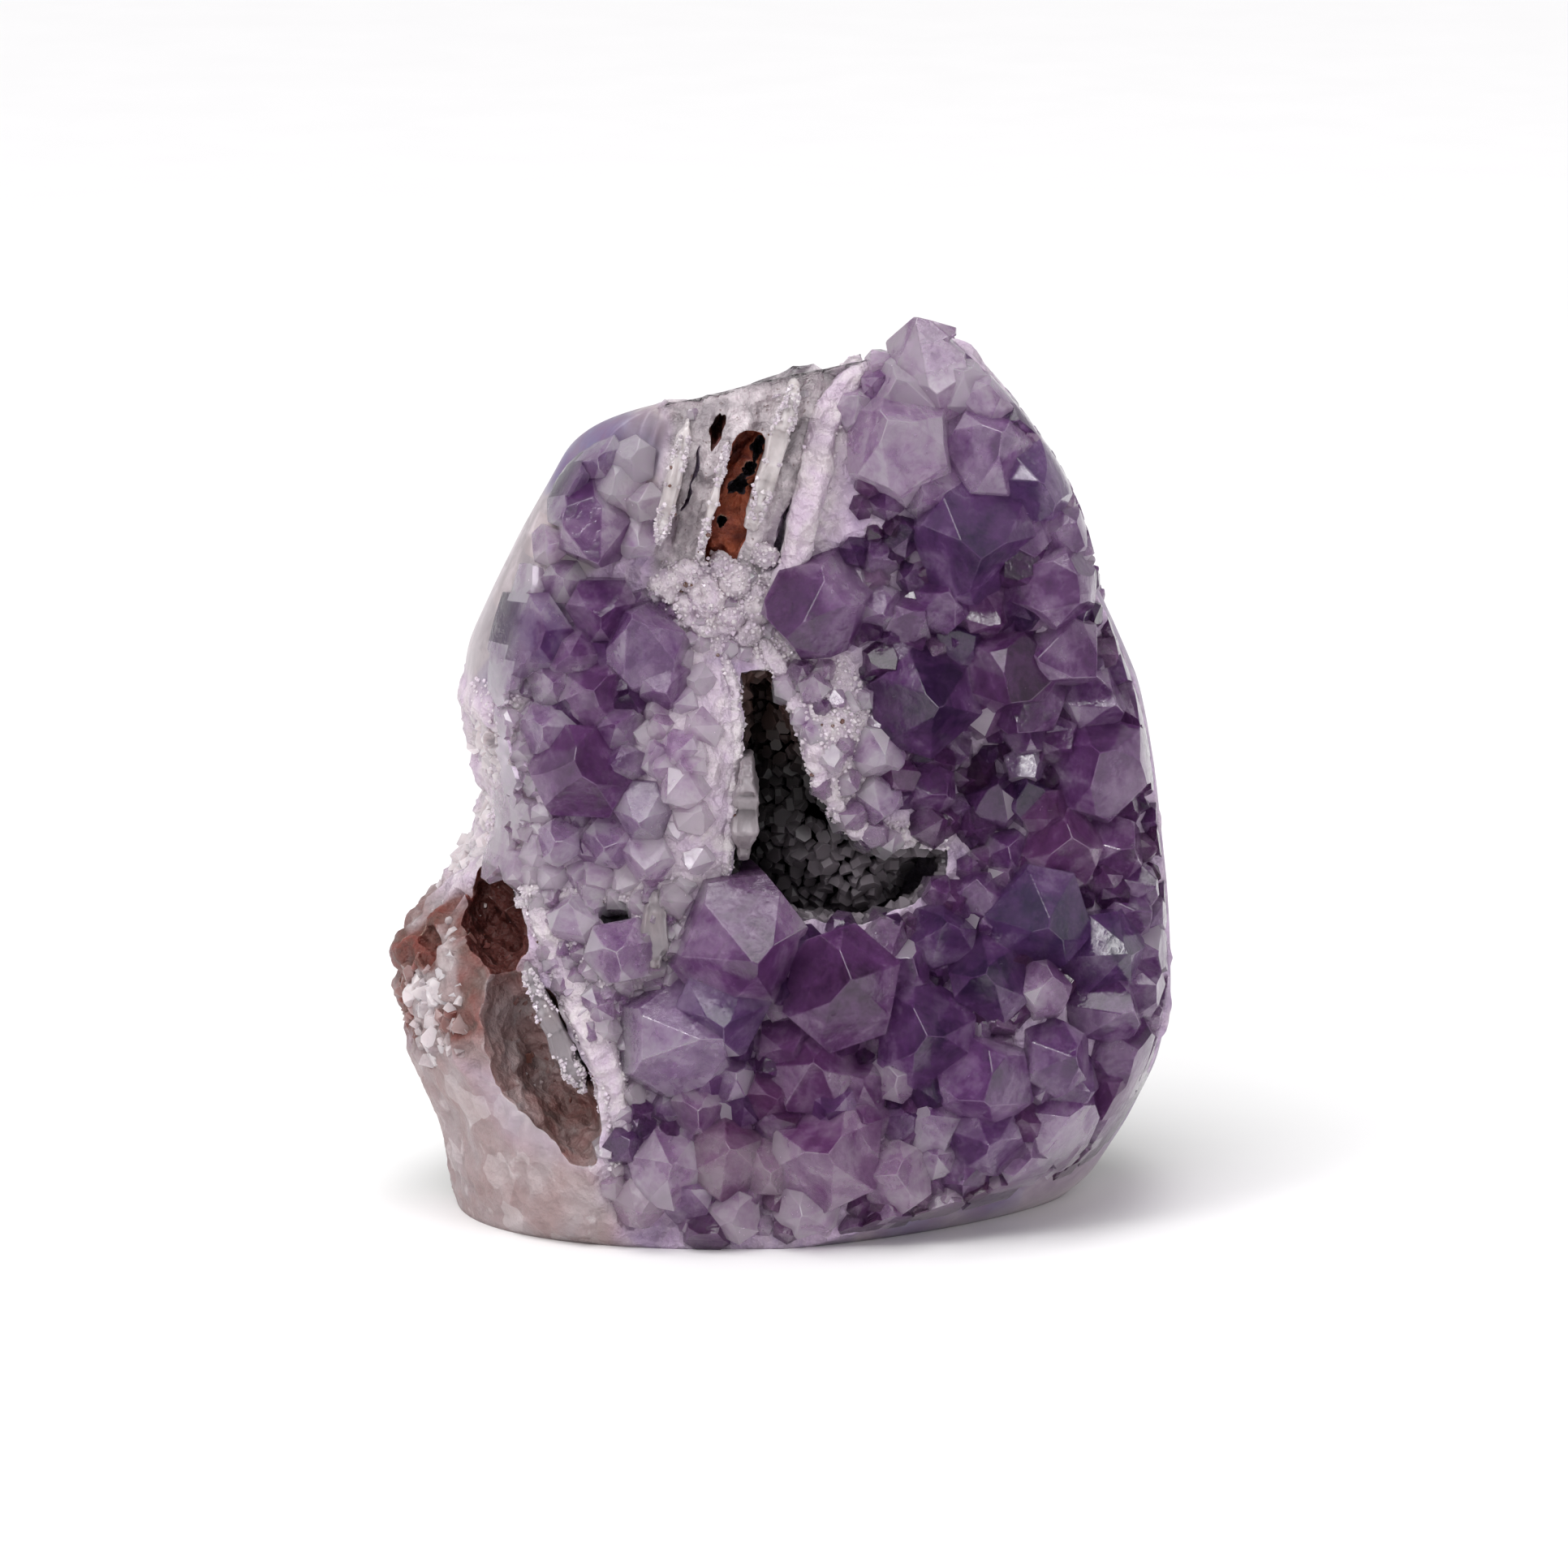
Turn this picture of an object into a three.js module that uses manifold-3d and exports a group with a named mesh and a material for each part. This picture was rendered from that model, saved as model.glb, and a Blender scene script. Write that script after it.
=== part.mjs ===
// Amethyst druse with calcite: a hand specimen with a sawn flat base, a ground and polished outside, a
// front of amethyst crystals with a dark cave in it, and parallel calcite plates that stand in the quartz.
// Millimetres, +Z up. The origin is on the base under the middle of the piece, and the crystals face -Y.

import * as THREE from "three";
import { mergeVertices } from "three/addons/utils/BufferGeometryUtils.js";
import Module from "manifold-3d";

const wasm = await Module();
wasm.setup();

// Driving dimensions. Places on the front are noted as seen by someone who looks down on it a little:
// across from the middle, and up from the front edge of the base at right angles to the line of sight.
const SIGHT_TILT = THREE.MathUtils.degToRad(12);
const BASE_EDGE_Y = -35;
const FIT_GAP = 0.35;
const FRONT_COLUMNS = 20;
const BACK_COLUMNS = 12;
const POINT_SLOPE = 1.27;
const LARGE_WIDTH = 10.2;
const SEED = 7;

// Sections of the outside from the base to the top ridge. Each runs from its left end to its right end,
// both [x, z], and from its front to its back, both y. The lobe at the left ends in front, so the back has
// its own left end, backLeft, and the front right corner of the foot has its own roundness.
const SECTIONS = [
  { left: [-45, 0], backLeft: -43, right: [38.5, 0], front: -31.5, back: 30, roundness: 1.4 },
  { left: [-45.6, 2.5], backLeft: -44, right: [42, 2.5], front: -34.6, back: 33.5, roundness: 1.45 },
  { left: [-46.8, 11], backLeft: -44.5, right: [47.2, 11], front: -36.2, back: 35.5, roundness: 1.7 },
  { left: [-50.6, 20], backLeft: -45.5, right: [51.2, 20], front: -37, back: 36.5, roundness: 2.2 },
  { left: [-53, 29], backLeft: -46, right: [53, 29], front: -37, back: 37 },
  { left: [-52.5, 37], backLeft: -45.5, right: [52.8, 37], front: -37, back: 37 },
  { left: [-46.5, 43], backLeft: -43.5, right: [52.3, 44], front: -37, back: 37 },
  { left: [-42.2, 51], backLeft: -41.5, right: [51.4, 52], front: -36.6, back: 36.5 },
  { left: [-40.6, 58], right: [50.5, 60], front: -36, back: 35.5 },
  { left: [-42.2, 64], right: [49.5, 66], front: -35.6, back: 34.5 },
  { left: [-44, 71], right: [48.2, 72], front: -35, back: 33.5 },
  { left: [-42.8, 78], right: [45.3, 79], front: -34.2, back: 31.5 },
  { left: [-39.2, 86], right: [41.8, 87], front: -33, back: 29 },
  { left: [-35.5, 93.5], right: [40.2, 95], front: -31.2, back: 25 },
  { left: [-31.8, 100], right: [37.4, 101.5], front: -29, back: 21 },
  { left: [-29, 105.3], right: [33.5, 107.5], front: -27, back: 17 },
  { left: [-25, 108.8], right: [30, 112.5], front: -25, back: 13 },
  { left: [-17.5, 111], right: [28, 116.3], front: -22.8, back: 9 },
  { left: [-5.5, 112.8], right: [25.3, 120], front: -20.5, back: 3.5 },
  { left: [6.5, 115], right: [22, 122], front: -17.5, back: -3 },
];
const LEFT_ROUNDNESS = 2.4;
const RIGHT_ROUNDNESS = 2.8;

// The upper sections rise to the front: the top falls away behind the crystals.
const NOD = { from: 62, full: 108, rate: 0.3 };

// The bed that the crystals grow on leans back with height, and slopes away at the right edge.
const BED_FOOT_Y = -31;
const BED_LEAN = 0.105;
const RIGHT_SLOPE = { from: 35, rate: 1.05 };

// Hollows (deep above 0) and swellings (deep below 0) of the bed, by their centre and spread, both [x, z].
const BED_FORMS = [
  { centre: [30, 62], spread: [13, 20], deep: 9 }, // bowl on the right
  { centre: [14, 103], spread: [9, 9], deep: -2 }, // shelf under the peak
  { centre: [-17, 66], spread: [10, 15], deep: -4.5 }, // left panel
  { centre: [5, 72], spread: [5, 13], deep: -4 }, // wall right of the cave
  { centre: [-2, 37], spread: [13, 7], deep: -3.5 }, // shelf under the cave
  { centre: [-25, 30], spread: [4, 12], deep: -3 }, // ridge beside the pocket
  { centre: [-52, 38], spread: [10, 11], deep: 12 }, // lobe at the left
  { centre: [-6, 100], spread: [10, 7], deep: 2.5 }, // hollow of the plates
  { centre: [-40, 56], spread: [4, 5], deep: 5 }, // step at the left edge
  { centre: [44, 4], spread: [18, 15], deep: 8 }, // receding foot at the right
  { centre: [-37, 14], spread: [13, 17], deep: -5 }, // massive quartz at the lower left
];

// Mouth of the cave and of the pocket, [across, up], and the rounded rooms behind them.
const CAVE_MOUTH = [
  [-6, 78.5], [-1.5, 79], [1.5, 72], [4, 64], [7, 59], [11, 55.5], [22, 54.5],
  [21.5, 51], [17.5, 47.5], [10.5, 44.5], [1.5, 45.5], [-7, 49], [-6.6, 60], [-5.6, 71],
];
const CAVE_ROOM = { centre: [6.5, -5, 60.5], half: [17, 15.5, 21], turn: 0.2, lump: 0.1 };
const POCKETS = [
  { across: -32.8, up: 25.8, deep: -31, half: [6.2, 12, 14.8], turn: -0.48 }, // long pocket
  { across: -38.8, up: 45.4, deep: -24, half: [4.2, 13, 7.3], turn: -0.35 }, // hole at the left edge
  { across: -22.8, up: 45.6, deep: -30, half: [2.5, 6, 2], turn: 0 }, // hole under the ledge
  { across: -8.5, up: 112.2, deep: -23.5, half: [1.3, 6, 3], turn: -0.24 }, // small red hole
];

// The slot that a lost plate left as its mould, the gap beside the thick plate, and the gap left of the thin
// plate, each open to the front down to its back.
const SLOTS = [
  { across: -6.2, up: 101.8, lean: 15, long: 20, wide: 4.6, back: -17.5 },
  { across: -0.4, up: 97, lean: 16, long: 12, wide: 2, back: -18.5 },
  { across: -12.2, up: 104, lean: 14.5, long: 12, wide: 1.4, back: -21 },
];
const SLOT_FRONT = -38;

// Calcite plates seen on edge: the middle of the visible edge as [across, up, y], the lean of its top to the
// right in degrees, its length and thickness, and how far the plate reaches back into the quartz.
const BLADES = {
  calcite_blade_top_left: { edge: [-14.6, 104.6, -27.5], lean: 14, long: 20, thick: 2.4, reach: 13 },
  calcite_blade_top_middle: { edge: [-9.2, 101, -27.5], lean: 14, long: 17, thick: 1.3, reach: 14 },
  calcite_blade_top_right: { edge: [-1.7, 106.5, -27.5], lean: 17, long: 21, thick: 3.6, reach: 13 },
  calcite_blade_pocket: { edge: [-30.2, 30, -33], lean: -24, long: 19.5, thick: 1.6, reach: 13 },
  calcite_blade_bridge: { edge: [-17.4, 43.4, -34], lean: 3, long: 11.5, thick: 3.6, reach: 9 },
  calcite_blade_cavity: { edge: [-5, 59.5, -31.5], lean: 2, long: 14, thick: 1.6, reach: 12 },
};

// Edge of a plate from its front top corner round to its front bottom corner, as [share of its reach, share
// of its length].
const BLADE_EDGE = [
  [0.1, 0.5], [0.55, 0.47], [0.95, 0.4], [1, 0.05], [0.94, -0.36], [0.6, -0.5], [0.18, -0.48],
  [0.04, -0.3], [0.09, -0.12], [0, 0.06], [0.06, 0.24], [0.02, 0.4],
];

// Amethyst crystals by the place on the front that they hold: [across, up, width, lean right, lean up].
const CRYSTALS = {
  peak: [
    [19.5, 121.2, 11.5, -0.3, 0.7], [16.5, 115.5, 8.5, -0.3, 0.2], [23, 115.5, 6.5, 0.1, 0.3],
    [15.5, 108.5, 13, -0.3, 0.2], [9, 112, 5.5, 0, 0.4], [28.5, 116.5, 8, 0.5, 0.4],
    [30.5, 112.5, 6, 0.7, 0], [27, 108, 11, 0.2, 0.4], [33.5, 104, 9.5, 0.4, -0.2],
    [24.5, 97, 14, 0.1, -0.2], [32.5, 97, 6, -0.3, -0.3], [37.5, 97.5, 6, 0.6, 0.1],
  ],
  right_edge: [
    [36, 90, 10, 0.3, 0], [37, 81.5, 9, 0.4, -0.5], [41, 75, 8, 0.3, 0], [42, 66, 12.5, -0.2, 0.2],
    [44, 55, 8, 0.2, 0], [47, 49.5, 6.5, 0.3, 0], [46, 46, 7, 0.2, 0], [42, 41, 11, 0, 0],
    [42.5, 33.5, 9.5, 0.1, -0.1], [47.5, 36, 7, 0.3, 0], [45, 27, 9, 0.3, 0], [44, 18, 7.5, 0.3, 0.2],
  ],
  bowl: [
    [4, 87.5, 12.5, -0.4, -0.5], [12.5, 87.5, 6, 0.1, -0.2], [21, 88, 7.5, 0.1, 0.3],
    [18.5, 75, 13, 0, 0], [29.5, 79.5, 11.5, 0, -0.3], [32.5, 75, 9, -0.1, -0.4],
    [33, 70.5, 5.5, 0.1, 0.5], [12.5, 68, 6.5, -0.1, -0.3], [12.5, 61.5, 5.5, 0, -0.6],
    [19.5, 63, 6.5, 0.1, -0.2], [28.5, 61, 7, 0, 0.5], [33, 61.5, 6, 0.1, 0.5],
    [37, 55, 9, -0.1, 0.1], [30, 54, 5.5, 0, 0], [26, 48, 6.5, -0.2, 0.5], [34, 45.5, 11.5, 0.1, -0.2],
  ],
  middle: [
    [21, 43, 7.5, 0, 0.2], [16, 39, 6.5, 0.1, 0.3], [27.5, 37, 9.5, -0.1, 0], [34.5, 36, 6.5, 0.1, 0.3],
    [8, 37, 14, -0.1, 0.15], [-6.5, 42, 15, 0.2, -0.35], [-8.5, 34, 11.5, 0.2, 0],
    [-14.5, 30, 13.5, 0.6, 0.1], [19, 30, 11.5, 0, 0.1], [15.5, 24.5, 6.5, 0, 0],
    [-7, 23.5, 6, 0.1, 0.4], [4, 25, 10.5, 0, 0.3], [-2, 22, 6.5, 0.2, 0],
    [26.5, 24, 11.5, 0, -0.2], [36, 27, 8.5, 0, 0.1],
  ],
  foot: [
    [37, 17.5, 10.5, 0, 0.2], [20, 18, 7, -0.1, 0.3], [27, 16.5, 9, 0, 0], [6.5, 13.5, 13, 0, 0.1],
    [20.5, 13, 5, 0, 0.3], [15, 11, 8.5, 0, 0], [-8, 13.5, 9, 0.1, 0.2], [-16, 12, 9.5, 0, 0.1],
    [-21.5, 15, 5, 0, 0.3], [-2, 12, 7, 0.1, 0], [3, 6.5, 7.5, 0, -0.1], [-6.5, 5.5, 6.5, 0, -0.1],
    [-11.5, 20.5, 7, 0, 0], [10.5, 19, 6.5, 0, 0], [32.5, 12.5, 6.5, 0, 0],
  ],
  left_panel: [
    [-25, 97, 11.5, -0.2, -0.5], [-33.5, 82.5, 11, 0.2, 0], [-24.5, 87, 8, 0, -0.2],
    [-18.5, 81.5, 10, -0.3, 0.4], [-27.5, 80, 7, 0, 0], [-25.5, 75.5, 8, 0.2, 0.1],
    [-16, 77, 6, 0.2, -0.4], [-26.5, 65, 12, 0, 0], [-18.5, 60, 9, 0.1, -0.2], [-23, 56, 6, 0, 0],
    [-18, 54, 6, 0, -0.3], [-30, 56, 5.5, 0, 0], [-28, 45.5, 6, 0, 0.5], [-21.5, 41, 8, 0, 0.2],
  ],
};

// Where small crystals fill in between the large ones, [across, up].
const FILLED_BED = [
  [-2, 8], [20, 6], [42, 14], [49, 30], [49, 50], [45, 72], [37, 95], [29, 111], [12, 112], [5, 96],
  [3, 84], [9, 72], [13, 61], [25, 58], [26, 48], [10, 42], [-4, 30], [-20, 24], [-22, 12], [-14, 6],
];
const FILL_SPACING = 8.4;
const FILL_WIDTH = 5.6;

// Dark crystals of the cave: the net of its wall, the rows of the net that the crust leaves open at the
// front, its thickness and gap to the wall, and the height of the crystals.
const CAVE_NET = { rows: 12, columns: 18 };
const CRUST = { openRows: 5, thick: 1.4, height: 3, gap: 0.7 };

const random = seededRandom(SEED);

// A repeatable stream of numbers from 0 to 1.
function seededRandom(seed) {
  let state = seed;
  return () => {
    state = (state * 1664525 + 1013904223) % 4294967296;
    return state / 4294967296;
  };
}

// The point that is seen at a place on the front and lies at depth y.
function fromView(across, up, y) {
  const z = (up - (y - BASE_EDGE_Y) * Math.sin(SIGHT_TILT)) / Math.cos(SIGHT_TILT);
  return new THREE.Vector3(across, y, z);
}

// Depth of the crystal bed: the leaning plane, its right slope and a bell-shaped term for each hollow or
// swelling.
function bedDepth(x, z) {
  let y = BED_FOOT_Y + BED_LEAN * z + RIGHT_SLOPE.rate * Math.max(0, x - RIGHT_SLOPE.from);
  for (const { centre, spread, deep } of BED_FORMS) {
    const far = ((x - centre[0]) / spread[0]) ** 2 + ((z - centre[1]) / spread[1]) ** 2;
    y += deep * Math.exp(-far);
  }
  return y;
}

// The point on the bed that is seen at a place on the front.
function onBed(across, up) {
  let point = fromView(across, up, BASE_EDGE_Y);
  for (let pass = 0; pass < 3; pass += 1) {
    point = fromView(across, up, bedDepth(across, point.z));
  }
  return point;
}

// Outward direction of the bed at a point, from its slope.
function bedNormal(point) {
  const step = 1.5;
  const slopeX = (bedDepth(point.x + step, point.z) - bedDepth(point.x - step, point.z)) / (2 * step);
  const slopeZ = (bedDepth(point.x, point.z + step) - bedDepth(point.x, point.z - step)) / (2 * step);
  return new THREE.Vector3(slopeX, -1, slopeZ).normalize();
}

// A geometry as a solid that can be joined and cut.
function solidOf(geometry) {
  const bare = new THREE.BufferGeometry();
  bare.setAttribute("position", geometry.getAttribute("position"));
  if (geometry.index) bare.setIndex(geometry.index);
  const merged = mergeVertices(bare, 1e-4);
  return new wasm.Manifold(
    new wasm.Mesh({
      numProp: 3,
      vertProperties: merged.attributes.position.array,
      triVerts: new Uint32Array(merged.index.array),
    }),
  );
}

// Vertices and faces as a geometry. A face is a list of vertex numbers, anticlockwise from outside.
function geometryOf(vertices, faces) {
  const index = [];
  for (const face of faces) {
    for (let corner = 2; corner < face.length; corner += 1) {
      index.push(face[0], face[corner - 1], face[corner]);
    }
  }
  const geometry = new THREE.BufferGeometry();
  const values = vertices.flatMap((vertex) => vertex.toArray());
  geometry.setAttribute("position", new THREE.Float32BufferAttribute(values, 3));
  geometry.setIndex(index);
  return geometry;
}

// Rings of equal length skinned into a closed solid, the first and last ring closed by a fan round their
// middle.
function loft(rings) {
  const columns = rings[0].length;
  const vertices = rings.flat();
  const faces = [];
  for (let row = 0; row + 1 < rings.length; row += 1) {
    for (let column = 0; column < columns; column += 1) {
      const next = (column + 1) % columns;
      const low = row * columns;
      const high = low + columns;
      faces.push([low + column, low + next, high + next], [low + column, high + next, high + column]);
    }
  }
  for (const up of [false, true]) {
    const start = up ? (rings.length - 1) * columns : 0;
    const ring = up ? rings.at(-1) : rings[0];
    const middle = ring.reduce((sum, point) => sum.add(point), new THREE.Vector3());
    const hub = vertices.push(middle.divideScalar(columns)) - 1;
    for (let column = 0; column < columns; column += 1) {
      const here = start + column;
      const next = start + ((column + 1) % columns);
      faces.push(up ? [here, next, hub] : [next, here, hub]);
    }
  }
  return solidOf(geometryOf(vertices, faces));
}

// One section of the outside as a rounded oblong. frontDepth(x, z, y) gives the depth of each point of its
// front.
function sectionRing(section, frontDepth) {
  const [leftX, leftZ] = section.left;
  const [rightX, rightZ] = section.right;
  const middleX = (leftX + rightX) / 2;
  const middleY = (section.front + section.back) / 2;
  const halfX = (rightX - leftX) / 2;
  const halfY = (section.back - section.front) / 2;
  const ring = [];
  for (let column = 0; column < FRONT_COLUMNS + BACK_COLUMNS; column += 1) {
    const inFront = column < FRONT_COLUMNS;
    const share = inFront ? column / FRONT_COLUMNS : (column - FRONT_COLUMNS) / BACK_COLUMNS;
    const angle = Math.PI * (share + (inFront ? 1 : 0));
    const cos = Math.cos(angle);
    const sin = Math.sin(angle);
    const rightRoundness = inFront ? (section.roundness ?? RIGHT_ROUNDNESS) : RIGHT_ROUNDNESS;
    const power = 2 / (cos < 0 ? LEFT_ROUNDNESS : rightRoundness);
    const endX = cos < 0 && !inFront ? THREE.MathUtils.lerp(leftX, section.backLeft ?? leftX, sin) : leftX;
    const half = cos < 0 ? middleX - endX : halfX;
    const x = middleX + half * Math.sign(cos) * Math.abs(cos) ** power;
    const level = leftZ + ((rightZ - leftZ) * (x - leftX)) / (rightX - leftX);
    const nod = NOD.rate * THREE.MathUtils.smoothstep(level, NOD.from, NOD.full);
    const skin = middleY + halfY * Math.sign(sin) * Math.abs(sin) ** power;
    const z = level + nod * (middleY - skin);
    ring.push(new THREE.Vector3(x, sin < 0 ? frontDepth(x, z, skin) : skin, z));
  }
  return ring;
}

// The quartz body: the outside, with its front set back to the bed.
function quartzBody() {
  const bedRoughness = 0.7;
  const rings = SECTIONS.map((section, row) => {
    const rough = row > 1 && row < SECTIONS.length - 2 ? bedRoughness : 0;
    return sectionRing(section, (x, z, y) => {
      const bed = bedDepth(x, z) + rough * (random() - 0.5) * 2;
      return bed > y ? bed : y;
    });
  });
  return loft(rings);
}

// The outside bulged at the front, so that crystals stand out there but end where the sides are polished.
function polishedLimit() {
  const bulge = 8;
  const bulgeFrom = -30;
  const bulgeTo = 50;
  const bulgeStart = 3;
  const bulgeFull = 16;
  const rings = SECTIONS.map((section) =>
    sectionRing(section, (x, z, y) => {
      const share = THREE.MathUtils.clamp((x - bulgeFrom) / (bulgeTo - bulgeFrom), 0, 1);
      const rise = THREE.MathUtils.smoothstep(z, bulgeStart, bulgeFull);
      return y - bulge * rise * Math.sin(Math.PI * share) ** 0.5;
    }),
  );
  const crown = rings.at(-1).map((point) => point.clone().add(new THREE.Vector3(0, 0, 14)));
  return loft([...rings, crown]);
}

// A small quartz point with six equal faces.
function equalPoint(reach, sunk, tip) {
  const vertices = [-sunk, 0].flatMap((height) =>
    Array.from({ length: 6 }, (_, corner) => {
      const angle = ((corner + 0.5) * Math.PI) / 3;
      return new THREE.Vector3(reach * Math.cos(angle), reach * Math.sin(angle), height);
    }),
  );
  const apex = vertices.push(new THREE.Vector3(0, 0, tip)) - 1;
  const faces = [[5, 4, 3, 2, 1, 0]];
  for (let corner = 0; corner < 6; corner += 1) {
    const next = (corner + 1) % 6;
    faces.push([corner, next, next + 6, corner + 6], [corner + 6, next + 6, apex]);
  }
  return geometryOf(vertices, faces);
}

// A quartz point: a six-sided prism sunk in the bed, with three large and three small faces at its tip. The
// faces rise at the slope of quartz rhombohedra, and the small ones end in a corner below the tip.
function quartzPoint(width, sunk, smallFaces) {
  const apothem = width / 2;
  const reach = apothem / Math.cos(Math.PI / 6);
  const tip = apothem * POINT_SLOPE;
  if (smallFaces === 1) return equalPoint(reach, sunk, tip);
  const drop = ((1 - smallFaces) * tip) / 2;
  const half = (tip / 2 - drop) / (POINT_SLOPE * Math.sin(Math.PI / 3));
  const vertices = [];
  const polar = (radius, angle, height) =>
    new THREE.Vector3(radius * Math.cos(angle), radius * Math.sin(angle), height);
  for (const height of [-sunk, 0]) {
    for (let corner = 0; corner < 6; corner += 1) {
      vertices.push(polar(reach, ((corner + 0.5) * Math.PI) / 3, height));
    }
  }
  const apex = vertices.push(new THREE.Vector3(0, 0, tip)) - 1;
  const faces = [[5, 4, 3, 2, 1, 0]];
  const small = [];
  for (let side = 1; side < 6; side += 2) {
    const angle = (side * Math.PI) / 3;
    const across = new THREE.Vector3(-Math.sin(angle), Math.cos(angle), 0).multiplyScalar(half);
    const edge = polar(apothem, angle, drop);
    const right = vertices.push(edge.clone().sub(across)) - 1;
    const left = vertices.push(edge.clone().add(across)) - 1;
    const top = vertices.push(polar((2 * drop) / POINT_SLOPE, angle, tip - drop)) - 1;
    small[side] = { right, left, top };
    faces.push([right, left, top]);
    faces.push([side - 1, side, side + 6, left, right, side + 5]);
  }
  for (let side = 0; side < 6; side += 2) {
    const before = small[(side + 5) % 6];
    const after = small[side + 1];
    const from = (side + 5) % 6;
    faces.push([from, side, side + 6, from + 6]);
    faces.push([apex, before.top, before.left, from + 6, side + 6, after.right, after.top]);
  }
  return geometryOf(vertices, faces);
}

// A quartz point placed on the bed: it grows outward and leans as asked, turned round its own axis by chance.
function placedPoint([across, up, width, leanRight, leanUp]) {
  const centre = onBed(across, up);
  const outward = bedNormal(centre);
  const wobble = 0.16;
  const axis = new THREE.Vector3(
    outward.x * 0.6 + leanRight + wobble * (random() - 0.5),
    outward.y,
    outward.z * 0.6 + leanUp + 0.1 + wobble * (random() - 0.5),
  ).normalize();
  const isLarge = width > LARGE_WIDTH;
  const rise = width * (isLarge ? 0.04 : 0.12);
  const smallFaces = isLarge ? 0.25 + 0.4 * random() : 1;
  const geometry = quartzPoint(width, width * 0.6, smallFaces);
  const flat = 0.88 + 0.24 * random();
  const placed = new THREE.Matrix4()
    .makeTranslation(centre.addScaledVector(axis, rise))
    .multiply(new THREE.Matrix4().makeRotationFromQuaternion(
      new THREE.Quaternion().setFromUnitVectors(new THREE.Vector3(0, 0, 1), axis),
    ))
    .multiply(new THREE.Matrix4().makeRotationZ(random() * Math.PI * 2))
    .multiply(new THREE.Matrix4().makeScale(flat, 1 / flat, 1));
  return solidOf(geometry.applyMatrix4(placed));
}

// True where a place lies inside a closed outline, by the crossings of a line to the right.
function isInside([across, up], outline) {
  let inside = false;
  outline.forEach(([x1, z1], number) => {
    const [x2, z2] = outline[(number + 1) % outline.length];
    const crosses = z1 > up !== z2 > up && across < x1 + ((up - z1) * (x2 - x1)) / (z2 - z1);
    if (crosses) inside = !inside;
  });
  return inside;
}

// Places of the small crystals: a loose grid over the filled bed, where no large crystal already stands.
function fillPlaces(taken) {
  const places = [];
  for (let up = 8; up < 112; up += FILL_SPACING) {
    for (let across = -22; across < 50; across += FILL_SPACING) {
      const place = [across + 3 * (random() - 0.5), up + 3 * (random() - 0.5)];
      const width = FILL_WIDTH * (0.8 + 0.5 * random());
      const isFree = taken.every(
        ([x, z, wide]) => Math.hypot(x - place[0], z - place[1]) > 0.42 * (wide + width),
      );
      if (isFree && isInside(place, FILLED_BED) && !isInside(place, CAVE_MOUTH)) {
        places.push([...place, width, 0.5 * (random() - 0.5), 0.5 * (random() - 0.5)]);
      }
    }
  }
  return places;
}

// Distance from the middle of a lumpy ball to its wall, as a share of the plain ellipsoid.
function lumpiness(direction, lump) {
  const { x, y, z } = direction;
  return 1 + lump * (Math.sin(5 * x + 2 * z) * Math.cos(4 * z - 3 * y) + 0.5 * Math.sin(9 * z + 4 * x));
}

// Point of a room's wall in a direction given by its height angle and its turn round the upright axis.
function wallPoint(room, height, around, inset = 0) {
  const direction = new THREE.Vector3(
    Math.cos(height) * Math.cos(around),
    Math.cos(height) * Math.sin(around),
    Math.sin(height),
  );
  const point = new THREE.Vector3(...room.half.map((half) => half - inset));
  point.multiply(direction).multiplyScalar(lumpiness(direction, room.lump));
  return point.applyAxisAngle(new THREE.Vector3(0, 1, 0), room.turn).add(new THREE.Vector3(...room.centre));
}

// A closed lumpy room.
function roomSolid(room, rows, columns) {
  const rings = [];
  for (let row = 1; row < rows; row += 1) {
    const height = Math.PI * (row / rows - 0.5);
    const turn = (2 * Math.PI) / columns;
    rings.push(Array.from({ length: columns }, (_, column) => wallPoint(room, height, column * turn)));
  }
  return loft(rings);
}

// An upright slab cut along an outline of places on the front, from one depth to another.
function mouthSolid(outline, frontY, backY) {
  const rings = [frontY, backY].map((y) => outline.map(([across, up]) => fromView(across, up, y)));
  return loft(rings);
}

// A plate: its edge outline drawn in depth and length, given its thickness with a worn bevel.
function plateGeometry(blade, grow) {
  const bevel = Math.min(0.4, blade.thick / 4);
  const reach = blade.reach + 2 * grow;
  const long = blade.long + 2 * grow;
  const outline = BLADE_EDGE.map(([deep, along]) => new THREE.Vector2(deep * reach - grow, along * long));
  const thick = blade.thick + 2 * grow;
  const geometry = new THREE.ExtrudeGeometry(new THREE.Shape(outline), {
    depth: thick - 2 * bevel,
    bevelThickness: bevel,
    bevelSize: bevel,
    bevelOffset: -bevel,
    bevelSegments: 1,
  });
  geometry.translate(0, 0, bevel - thick / 2);
  const lean = THREE.MathUtils.degToRad(blade.lean);
  const along = new THREE.Vector3(Math.sin(lean), 0, Math.cos(lean));
  const deep = new THREE.Vector3(0, 1, 0);
  const place = new THREE.Matrix4()
    .makeBasis(deep, along, deep.clone().cross(along))
    .setPosition(fromView(...blade.edge));
  return geometry.applyMatrix4(place);
}

// A straight slot: a leaning box from the front of the piece to its back depth.
function slotSolid(slot) {
  const reach = slot.back - SLOT_FRONT;
  const geometry = new THREE.BoxGeometry(slot.wide, reach, slot.long);
  geometry.rotateY(THREE.MathUtils.degToRad(slot.lean));
  const middle = fromView(slot.across, slot.up, SLOT_FRONT + reach / 2 + 5);
  geometry.translate(middle.x, SLOT_FRONT + reach / 2, middle.z);
  return solidOf(geometry);
}

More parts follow.
